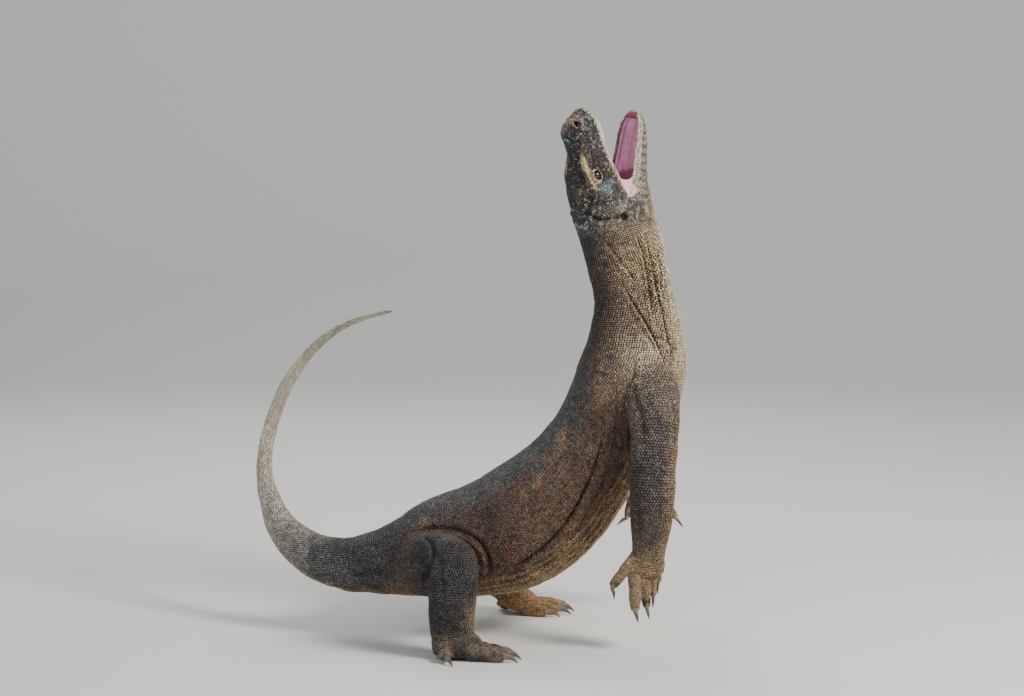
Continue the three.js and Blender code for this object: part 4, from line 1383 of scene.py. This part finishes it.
def place_scales():
    """Every scale of the coat: its place, its axes, its size, and where it lies."""
    parts = []
    dice = np.random.default_rng(7)
    for number, tube in enumerate(TUBE_LIST):
        sites = sites_on(tube)
        t, angle = sites[:, 0], sites[:, 1]
        near = tube.points(t, angle)
        loose = LOOSE.get(tube.name, USUAL_LOOSE) * sites[:, 2:3]
        ahead = step_ahead(tube, t, angle, 0.04)
        round_it = tube.points(t, angle + 0.03) - tube.points(t, angle - 0.03)
        outward = unit(np.cross(ahead, round_it))
        reach = RAY_REACH.get(coat_kind(tube), USUAL_REACH)
        astray = loose * (dice.random((len(t), 2)) - 0.5)
        near = near + unit(ahead) * astray[:, :1] + unit(round_it) * astray[:, 1:]
        starts = (near + outward * reach).tolist()
        hits = [flesh_tree.ray_cast(p, d, reach * 3) for p, d in zip(starts, (-outward).tolist())]
        good = np.array([h[0] is not None for h in hits])
        face = np.array([h[2] if h[0] is not None else 0 for h in hits])
        spot = np.array([h[0][:] if h[0] is not None else (0, 0, 0) for h in hits])
        corner = corners[face, 0]
        normal = unit(skin_normals[corners[face]].sum(1))
        good &= (skin_owner[corner] == number) & ~in_mouth[corner]
        good &= spot[:, 2] > LOWEST_SCALE
        stretch = np.ones(len(t))
        if tube.name == "spine":
            usual = np.linalg.norm(step_ahead(tube, t, 0 * angle, 0.04), axis=1).mean()
            stretch = np.clip(np.linalg.norm(ahead, axis=1) / usual, 0.7, 1.35)
        parts.append({
            "owner": np.full(good.sum(), number), "where": sites[good, :2], "root": corner[good],
            "at": spot[good], "normal": normal[good], "ahead": unit(ahead)[good],
            "along": sites[good, 2] * stretch[good], "around": sites[good, 3], "height": sites[good, 4],
        })
    parts.append(gap_fill(np.concatenate([part["at"] for part in parts]), dice))
    every = {key: np.concatenate([part[key] for part in parts]) for key in parts[0]}
    count = len(every["owner"])
    every["chance"] = dice.random((count, 4))
    local = into(HEAD, every["at"])
    for spot, gap in ((EYE_SPOT, 9.4), (NOSTRIL_SPOT, 6.4), (EAR_SPOT, 7.5)):
        off = np.hypot(local[:, 0] - spot[0], local[:, 2] - spot[2])
        off = from_eye(local)[2] if spot == EYE_SPOT else off
        clear = (off > gap) | (np.abs(np.abs(local[:, 1]) - spot[1]) > 20)
        every = {key: value[clear] for key, value in every.items()}
        local = local[clear]
    return every


scales = place_scales()


def pale_and_highlit_tips(s):
    """The scales of the neck, the shoulders and the temples have paler tips: partly pale dots of their own,
    partly a painted highlight.
    """
    t, round_by = s["where"][:, 0], np.degrees(np.abs(s["where"][:, 1]))
    spine = s["owner"] == TUBE_NAMES.index("spine")
    skull = s["owner"] == TUBE_NAMES.index("skull")
    neck = spine * rise(t, 18.4, 21.4) * rise(round_by, 14, 50) * rise(132 - round_by, 0, 24)
    back = spine * rise(20.6 - t, 0, 3) * 0.12
    return neck + back + skull * (0.4 + 0.5 * rise(2.6 - t, 0, 1.6))


def scale_mesh(name, chosen, edges):
    """One mesh of closed scales, each a low pebble whose highest point leans to its free end."""
    s = {key: value[chosen] for key, value in scales.items()}
    n = len(s["owner"])
    normal = s["normal"]
    ahead = unit(s["ahead"] - (s["ahead"] * normal).sum(1, keepdims=True) * normal)
    left = np.cross(normal, ahead)
    size = 1 + 0.24 * (s["chance"][:, :2] - 0.5)
    half_along = s["along"] * 0.57 * size[:, 0]
    half_around = s["around"] * 0.575 * size[:, 1]
    high = np.minimum(s["along"], s["around"]) * s["height"] * (0.85 + 0.3 * s["chance"][:, 2])
    angle = np.arange(edges) * 2 * math.pi / edges
    uneven = 1 + 0.22 * (np.random.default_rng(11).random((n, edges)) - 0.5)
    base = np.zeros((n, edges * 2 + 1, 3))
    for ring, (spread, lift) in enumerate(((1.0, None), (0.74, 0.66))):
        for edge in range(edges):
            x = half_along * uneven[:, edge] * spread * math.cos(angle[edge])
            y = half_around * uneven[:, edge] * spread * math.sin(angle[edge])
            up = np.full(n, -0.6) if lift is None else high * lift
            offset = ahead * x[:, None] + left * y[:, None] + normal * up[:, None]
            base[:, ring * edges + edge] = s["at"] + offset
    lean = ahead * (-0.16 * half_along)[:, None]
    base[:, -1] = s["at"] + normal * high[:, None] + lean
    points = base.reshape(-1, 3)
    points[:, 2] = np.maximum(points[:, 2], 0.2)
    ring = np.arange(edges)
    after = (ring + 1) % edges
    sides = np.concatenate([
        np.stack([ring, after, edges + after], 1), np.stack([ring, edges + after, edges + ring], 1),
        np.stack([edges + ring, edges + after, np.full(edges, edges * 2)], 1),
        np.stack([np.zeros(edges - 2, int), ring[2:], ring[1:-1]], 1),
    ])
    faces = (sides[None] + (np.arange(n) * (edges * 2 + 1))[:, None, None]).reshape(-1, 3)
    mesh = bpy.data.meshes.new(name)
    mesh.vertices.add(len(points))
    mesh.loops.add(faces.size)
    mesh.polygons.add(len(faces))
    mesh.vertices.foreach_set("co", to_row(points).astype(np.float32).ravel())
    mesh.loops.foreach_set("vertex_index", faces.astype(np.int32).ravel())
    mesh.polygons.foreach_set("loop_start", np.arange(0, faces.size, 3, dtype=np.int32))
    smooth(mesh)
    mesh.update(calc_edges=True)
    seam = rise(join[s["root"]], 0, 0.5)
    tint = blend(colour_of(s["owner"], s["where"], s["at"], 1), coat_tint[s["root"]], seam)
    skull = (s["owner"] == TUBE_NAMES.index("skull"))[:, None]
    vary = 0.62 + 0.76 * s["chance"][:, 3:4] + skull * (1.1 * s["chance"][:, 3:4] ** 3 - 0.12)
    tint = tint * (crease_shade(skin_move[s["root"]]) * vary)
    # Each scale is painted darker round its rim and paler at its tip: painted shade and a painted highlight
    # over its tint.
    light_and_shade_shares = np.tile(np.concatenate([np.full(edges, 0.26), np.full(edges, 0.74), [1.5]]), (n, 1))
    light_and_shade_shares[:, -1] += 0.9 * pale_and_highlit_tips(s)
    paint(mesh, (tint[:, None, :] * light_and_shade_shares[..., None]).reshape(-1, 3))
    # each scale takes a small patch of the unwrapped skin, round its own place on it
    tubes = np.unique(s["owner"])
    strip = np.searchsorted(tubes, s["owner"])
    last = np.array([tube.last for tube in TUBE_LIST])[s["owner"]]
    centre_u = (strip + 0.02 + 0.96 * np.clip(s["where"][:, 1] / (2 * math.pi) + 0.5, 0, 1)) / len(tubes)
    centre_v = 0.01 + 0.98 * np.clip(s["where"][:, 0] / last, 0, 1)
    patch = 0.0015
    rim = np.stack([np.cos(angle), np.sin(angle)], 1)
    disc = np.concatenate([rim, 0.72 * rim, [[0, 0]]])
    uv = np.stack([centre_u, centre_v], 1)[:, None, :] + disc[None] * patch
    layer = mesh.uv_layers.new(name="OFBake")
    layer.uv.foreach_set("vector", uv.reshape(-1, 2)[faces.ravel()].astype(np.float32).ravel())
    return put(name, mesh)


kinds_of = np.array([text.split("_")[0] for text in TUBE_NAMES])[scales["owner"]]
rows_of = scales["where"][:, 0]
on_spine = kinds_of == "spine"
# The spine's coat is cut into pieces by the t at which each starts.
SPINE_COATS = [
    ("scales_tail_tip", 0, "skin_tail"), ("scales_tail_root", 8.4, "skin_tail"),
    ("scales_hips", 11.6, "skin_body"), ("scales_belly", 13.6, "skin_body"),
    ("scales_ribs", 15.6, "skin_body"), ("scales_chest", 17.8, "skin_body"),
    ("scales_neck", 20.2, "skin_body"),
]
ends = [start for _, start, _ in SPINE_COATS[1:]] + [len(SPINE)]
COATS = [
    (name, on_spine & (rows_of >= start) & (rows_of < end), slot)
    for (name, start, slot), end in zip(SPINE_COATS, ends)
]
COATS += [
    ("scales_head", kinds_of == "skull", "skin_head"),
    ("scales_jaw", kinds_of == "jaw", "skin_jaw"),
    ("scales_arms", kinds_of == "arm", "skin_leg"),
    ("scales_legs", np.isin(kinds_of, ("thigh", "shin")), "skin_leg"),
    ("scales_paws", np.isin(kinds_of, ("hand", "foot")), "skin_paw"),
]
FACE_EDGES, BODY_EDGES = 6, 5
coats = []
for name, chosen, slot in COATS:
    edges = FACE_EDGES if slot in ("skin_head", "skin_jaw") else BODY_EDGES
    coats.append((scale_mesh(name, chosen, edges), slot))

# ------------------------------------------------------------------ eyes


def dome(name, centre, axis, radius, bulge, rings, around, colour_at):
    """An eyeball: a ball with a raised cornea on its axis, painted by the angle from the axis."""
    axis = unit(np.array(axis, float))
    side = unit(np.cross(axis, np.array([0, 0, 1.0])))
    other = np.cross(axis, side)
    tilt = np.linspace(0, math.pi, rings + 1)[1:-1]
    turn = np.arange(around) * 2 * math.pi / around
    tt, aa = np.meshgrid(tilt, turn, indexing="ij")
    size = radius + bulge * np.exp(-((tt / 0.62) ** 4))
    outward = side * np.cos(aa)[..., None] + other * np.sin(aa)[..., None]
    skin = centre + size[..., None] * (axis * np.cos(tt)[..., None] + outward * np.sin(tt)[..., None])
    points = np.vstack([skin.reshape(-1, 3), centre + axis * (radius + bulge), centre - axis * radius])
    i = np.arange(len(tilt) - 1)[:, None] * around
    j = np.arange(around)[None]
    k = (j + 1) % around
    faces = np.stack([i + j, i + around + j, i + around + k, i + k], -1).reshape(-1, 4).tolist()
    top, bottom, end = len(points) - 2, len(points) - 1, (len(tilt) - 1) * around
    faces += [[top, a, (a + 1) % around] for a in range(around)]
    faces += [[bottom, end + (a + 1) % around, end + a] for a in range(around)]
    made = new_object(name, points, faces)
    tilt_all = np.concatenate([tt.ravel(), [0, math.pi]])
    turn_all = np.concatenate([aa.ravel(), [0, 0]])
    paint(made.data, colour_at(tilt_all, turn_all))
    smooth(made.data)
    return made


def eye_colour(tilt, turn):
    streak = 0.5 + 0.3 * np.sin(turn * 23) + 0.2 * np.sin(turn * 41 + tilt * 9)
    iris = toned(len(tilt), (40, 27, 18), (84, 56, 32), streak * rise(tilt, 0.3, 0.56))
    made = blend(iris, shade(16, 12, 10), rise(tilt, 0.56, 0.66))
    made = blend(made, shade(86, 70, 58), rise(tilt, 0.74, 0.86))
    return blend(made, shade(6, 5, 5), rise(0.36 - tilt, -0.02, 0.03))


EYE_BACK = 3.4
SIDES = (("right", -1), ("left", 1))
eyes = []
for side_name, side in SIDES:
    look = HEAD[:3, :3] @ np.array([0.10, side, 0.10])
    middle = on_head((EYE_SPOT[0], side * (EYE_SPOT[1] - EYE_BACK), EYE_SPOT[2]))
    ball = dome(f"eye_ball_{side_name}", middle, look, EYE_RADIUS, 0.9, 44, 72, eye_colour)
    eyes.append((ball, f"eye_{side_name}"))

# ------------------------------------------------------------------ claws


def joined(name, parts, colours):
    """One mesh from several closed shells."""
    points, faces, start = [], [], 0
    for at, made in parts:
        points.append(at)
        faces += [[index + start for index in face] for face in made]
        start += len(at)
    thing = new_object(name, np.vstack(points), faces)
    paint(thing.data, np.vstack(colours))
    smooth(thing.data)
    return thing


def claws_of(paw):
    matrix, facing, digits, reach, up = PAWS[paw]
    parts, colours = [], []
    for digit in digits:
        tube = Tube("claw", claw_rows(digit, facing, up, reach), matrix, 0)
        rings, around = 40, 28
        points, faces = tube.shell(rings, around)
        share = np.repeat(np.linspace(0, 1, rings + 1), around)
        share = np.concatenate([share, [0, 1]])
        turn = np.concatenate([np.tile(np.arange(around) * 2 * math.pi / around, rings + 1), [0, 0]])
        groove = np.exp(-((np.abs(np.sin(turn)) - 0.94) / 0.06) ** 2)
        groove *= rise(share, 0.2, 0.4) * rise(1 - share, 0.1, 0.3)
        centre = between(tube.rows, share * tube.last)[:, :3]
        inward = carry(matrix, centre) - points
        ridges = 0.02 * np.sin(share * 60) * rise(0.6 - share, 0, 0.4)
        points = points + inward * (0.16 * groove + ridges)[:, None]
        points[:, 2] = np.maximum(points[:, 2], 0.15)
        base = toned(len(points), (104, 94, 82), (66, 60, 55), rise(share, 0.2, 0.7))
        base = blend(base, shade(160, 144, 118), np.exp(-((np.abs(np.sin(turn)) - 0.86) / 0.1) ** 2) * 0.5)
        base = blend(base, shade(150, 132, 106), rise(0.24 - share, 0, 0.14) * 0.7)
        streak = 0.5 + 0.5 * np.sin(turn * 9 + share * 3)
        colours.append(base * (0.8 + 0.35 * streak)[:, None])
        parts.append((points, faces))
    return joined(f"claws_{paw}", parts, colours)


claws = [(claws_of(paw), paw) for paw in PAWS]

# ------------------------------------------------------------------ the inside of the mouth


def sheet_faces(rows, columns):
    """The faces of a sheet of two layers, closed round its edge."""
    row_size = columns + 1
    count = (rows + 1) * row_size
    faces = []
    for i in range(rows):
        for j in range(columns):
            a = i * row_size + j
            face = [a, a + 1, a + row_size + 1, a + row_size]
            faces += [face, [count + index for index in reversed(face)]]
    edge = [i * row_size for i in range(rows)] + [rows * row_size + j for j in range(columns)]
    edge += [i * row_size + columns for i in range(rows, 0, -1)] + list(range(columns, 0, -1))
    for a, b in zip(edge, edge[1:] + edge[:1]):
        faces.append([a, b, count + b, count + a])
    return faces


def lining(name, hollow, floor):
    """The moist lining of one jaw: a closed trough whose folds run along it, darker towards the throat, where
    painted shade deepens its red.
    """
    rings, around, spread = 60, 56, rad(86)
    t = np.linspace(0.02, hollow.last - 0.02, rings + 1)
    a = np.linspace(-spread, spread, around + 1) + (math.pi if floor else 0)
    tt, aa = np.meshgrid(t, a, indexing="ij")
    share = tt / hollow.last
    mid_line = np.abs(aa - (math.pi if floor else 0))
    folds = 0.9 * np.sin(mid_line * 13 + 0.7 * np.sin(share * 9)) * rise(spread - mid_line, 0.1, 0.6)
    ruffle = 0.35 * np.sin(share * 70 + 3 * np.sin(mid_line * 4)) * rise(share, 0.1, 0.3)
    centre_ridge = (1.6 if floor else -1.2) * np.exp(-((mid_line / 0.13) ** 2)) * rise(1 - share, 0.0, 0.5)
    inner = hollow.points(tt, aa, -1.6)
    outer = hollow.points(tt, aa, 1.4)
    inward = unit(inner - outer)
    inner = inner + inward * (folds * 0.5 + ruffle * 0.4 + centre_ridge)[..., None]
    points = np.vstack([inner.reshape(-1, 3), outer.reshape(-1, 3)])
    faces = sheet_faces(rings, around)
    share, mid_line, folds = share.ravel(), mid_line.ravel(), folds.ravel()
    at = inner.reshape(-1, 3)
    soft = noise(at, 9, 31)
    pink = toned(len(at), (232, 178, 214), (206, 126, 172), rise(soft + 0.6 * folds, -0.4, 1.0) * 0.6)
    pink = blend(pink, shade(214, 104, 122), np.exp(-((mid_line / 0.34) ** 2)) * 0.6)
    rim = np.exp(-(((mid_line - spread + 0.34) / 0.12) ** 2))
    pink = blend(pink, shade(168, 62, 112), rim * 0.6)
    pink = blend(pink, shade(232, 208, 214), rise(mid_line, spread - 0.2, spread - 0.1) * 0.7)
    # The lining turns deep dark red towards the throat: partly its deeper red flesh, partly painted shade in
    # the gullet.
    throat = rise(0.37 - share + 0.03 * soft, 0, 0.07) * rise(1.05 - mid_line, 0, 0.3)
    pink = blend(pink, shade(120, 24, 40), throat * 0.92)
    pink = blend(pink, shade(238, 214, 220), rise(0.17 - share, 0, 0.1) * rise(mid_line, 0.8, 1.2))
    made = new_object(name, points, faces)
    paint(made.data, np.vstack([pink, pink]))
    smooth(made.data)
    return made


palate_lining = lining("palate_lining", VAULT, False)
floor_lining = lining("floor_lining", HOLLOW, True)
CORNER = ((2, -43), (64, -22), (48, -40), (60, -58))
CORNER_Y = 48


def corner_skin(name, side):
    """The stretched skin at a corner of the mouth: a thin pleated sheet with a hollow free edge."""
    hinge, upper, pull, lower = (np.array(spot, float) for spot in CORNER)
    size = 36
    p, q = np.meshgrid(np.linspace(0, 1, size + 1), np.linspace(0, 1, size + 1), indexing="ij")
    wide = p * 1.08 - 0.04
    w = wide[..., None]
    edge = (1 - w) ** 2 * upper + 2 * w * (1 - w) * pull + w ** 2 * lower
    flat = hinge + q[..., None] * (edge - hinge)
    pleat = 0.8 * np.sin(p * 19 + 1.5 * q) * q - 2.4 * np.sin(math.pi * p) * q
    layers = []
    for half in (0.9, -0.9):
        thick = half * (0.55 + 0.45 * np.cos(math.pi * np.clip(q, 0, 1) / 2))
        y = side * (CORNER_Y + pleat + thick)
        layers.append(carry(HEAD, np.stack([flat[..., 0], y, flat[..., 1]], -1).reshape(-1, 3)))
    points = np.vstack(layers)
    count = (size + 1) ** 2
    faces = sheet_faces(size, size)
    if side > 0:
        faces = [list(reversed(face)) for face in faces]
    made = new_object(name, points, faces)
    streak = rise(np.sin(p * 31 + 2 * q), -0.2, 0.9).ravel()
    pink = toned(count, (228, 196, 204), (204, 150, 164), 0.45 * streak)
    pink = blend(pink, shade(176, 96, 112), rise(0.25 - q.ravel(), 0, 0.25) * 0.6)
    paint(made.data, np.vstack([pink, pink]))
    smooth(made.data)
    return made


corners_of_mouth = [
    (corner_skin(f"corner_skin_{name}", side), f"mouth_corner_{name}") for name, side in SIDES
]

# ------------------------------------------------------------------ materials


def add(tree, kind, **settings):
    node = tree.nodes.new(f"ShaderNode{kind}")
    for name, value in settings.items():
        setattr(node, name, value)
    return node


def map_range(tree, source, target, to_range, from_range=(0, 1)):
    """Maps one socket's range to another and leads it on."""
    node = add(tree, "MapRange")
    node.inputs["To Min"].default_value, node.inputs["To Max"].default_value = to_range
    node.inputs["From Min"].default_value, node.inputs["From Max"].default_value = from_range
    tree.links.new(source, node.inputs["Value"])
    tree.links.new(node.outputs["Result"], target)


def scaled(tree, colour):
    """A colour times a number that is still to be led in."""
    node = add(tree, "VectorMath", operation="SCALE")
    tree.links.new(colour, node.inputs[0])
    return node


def hide(name, rough, grain, bump, specular, coat=0.0, mottle=0.25):
    """Skin, scale, horn or wet flesh: the painted colour, mottled, with grain in its gloss and relief."""
    material = bpy.data.materials.new(name)
    material.use_nodes = True
    tree = material.node_tree
    shader = tree.nodes["Principled BSDF"]
    tint = add(tree, "Attribute", attribute_name="tint")
    place_of = add(tree, "TexCoord")
    wide = add(tree, "TexNoise")
    wide.inputs["Scale"].default_value, wide.inputs["Detail"].default_value = grain * 0.22, 6
    small = add(tree, "TexNoise")
    small.inputs["Scale"].default_value, small.inputs["Detail"].default_value = grain, 8
    small.inputs["Roughness"].default_value = 0.65
    cells = add(tree, "TexVoronoi")
    cells.inputs["Scale"].default_value = grain * 1.6
    for texture in (wide, small, cells):
        tree.links.new(place_of.outputs["Object"], texture.inputs["Vector"])
    mottled = scaled(tree, tint.outputs["Color"])
    map_range(tree, wide.outputs["Fac"], mottled.inputs["Scale"], (1 - mottle, 1 + mottle), (0.3, 0.7))
    flecked = scaled(tree, mottled.outputs["Vector"])
    less = mottle * 0.7
    map_range(tree, small.outputs["Fac"], flecked.inputs["Scale"], (1 - less, 1 + less), (0.35, 0.65))
    tree.links.new(flecked.outputs["Vector"], shader.inputs["Base Color"])
    map_range(tree, small.outputs["Fac"], shader.inputs["Roughness"], (rough * 0.82, min(1, rough * 1.2)))
    both = add(tree, "Math", operation="MULTIPLY_ADD")
    tree.links.new(cells.outputs["Distance"], both.inputs[0])
    both.inputs[1].default_value = 0.4
    tree.links.new(small.outputs["Fac"], both.inputs[2])
    relief = add(tree, "Bump")
    relief.inputs["Strength"].default_value, relief.inputs["Distance"].default_value = bump, 0.0012
    tree.links.new(both.outputs["Value"], relief.inputs["Height"])
    tree.links.new(relief.outputs["Normal"], shader.inputs["Normal"])
    shader.inputs["Specular IOR Level"].default_value = specular
    shader.inputs["Coat Weight"].default_value = coat
    shader.inputs["Coat Roughness"].default_value = 0.06
    return material


HIDES = {
    "skin_body": hide("skin_body", 0.64, 420, 0.35, 0.26),
    "skin_tail": hide("skin_tail", 0.66, 460, 0.35, 0.26),
    "skin_leg": hide("skin_leg", 0.58, 440, 0.35, 0.3),
    "skin_paw": hide("skin_paw", 0.66, 520, 0.4, 0.3),
    "skin_head": hide("skin_head", 0.56, 620, 0.35, 0.26),
    "skin_jaw": hide("skin_jaw", 0.58, 600, 0.3, 0.28),
    "mouth": hide("mouth", 0.3, 300, 0.22, 0.5, coat=0.35, mottle=0.16),
    "claw": hide("claw", 0.42, 700, 0.3, 0.45, coat=0.12, mottle=0.3),
    "eye": hide("eye", 0.12, 900, 0.02, 0.5, coat=1.0, mottle=0.14),
}
FLESH = ("tail", "trunk", "neck", "head", "lower_jaw")
FLESH += ("upper_arm", "forearm", "hand", "thigh", "shin", "foot")
FLESH_NODES = [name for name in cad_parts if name.startswith(FLESH)]
PIECES = [(flesh, "skin_body", FLESH_NODES)]
PIECES += [(piece, slot, []) for piece, slot in coats]
PIECES += [(piece, "eye", [node]) for piece, node in eyes]
PIECES += [(piece, "claw", [f"claw_{paw}_{n}" for n in range(1, 6)]) for piece, paw in claws]
PIECES += [(palate_lining, "mouth", ["palate"]), (floor_lining, "mouth", ["mouth_floor"])]
PIECES += [(piece, "mouth", [node]) for piece, node in corners_of_mouth]
for piece, slot, nodes in PIECES:
    piece.data.materials.clear()
    piece.data.materials.append(HIDES[slot])
    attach(piece, "root")
    if nodes:
        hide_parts(*nodes)

# ------------------------------------------------------------------ floor and light


def sweep():
    """A pale floor that curves up into a backdrop."""
    bend = np.linspace(0, math.pi / 2, 25)
    profile = [(-9.0, 0.0)] + [(4.0 + 2 * math.sin(a), 2 - 2 * math.cos(a)) for a in bend] + [(6.0, 9.0)]
    points = [(x, y, z) for y, z in profile for x in (-12, 12)]
    faces = [[2 * i, 2 * i + 1, 2 * i + 3, 2 * i + 2] for i in range(len(profile) - 1)]
    mesh = bpy.data.meshes.new("sweep")
    mesh.from_pydata(points, [], faces)
    smooth(mesh)
    made = put("sweep", mesh)
    paper = bpy.data.materials.new("paper")
    paper.use_nodes = True
    shader = paper.node_tree.nodes["Principled BSDF"]
    shader.inputs["Base Color"].default_value = (0.74, 0.73, 0.70, 1)
    shader.inputs["Roughness"].default_value = 0.9
    mesh.materials.append(paper)


def area_light(name, spot, aim, size, power, colour):
    data = bpy.data.lights.new(name, "AREA")
    data.shape, data.size, data.energy, data.color = "DISK", size, power, colour
    lamp = put(name, data)
    lamp.location = spot
    lamp.rotation_euler = (Vector(aim) - Vector(spot)).to_track_quat("-Z", "Y").to_euler()


sweep()
area_light("key", (2.9, -1.9, 3.0), (0.1, 0, 0.55), 1.4, 210, (1.0, 0.95, 0.87))
area_light("fill", (-3.2, -3.4, 1.7), (0, 0, 0.5), 2.6, 60, (0.88, 0.94, 1.0))
area_light("rim", (-0.6, 2.6, 3.0), (0, 0, 0.6), 2.0, 55, (1.0, 0.98, 0.95))
world = bpy.data.worlds.new("room")
world.use_nodes = True
world.node_tree.nodes["Background"].inputs["Color"].default_value = (0.86, 0.9, 1.0, 1)
world.node_tree.nodes["Background"].inputs["Strength"].default_value = 0.5
bpy.context.scene.world = world
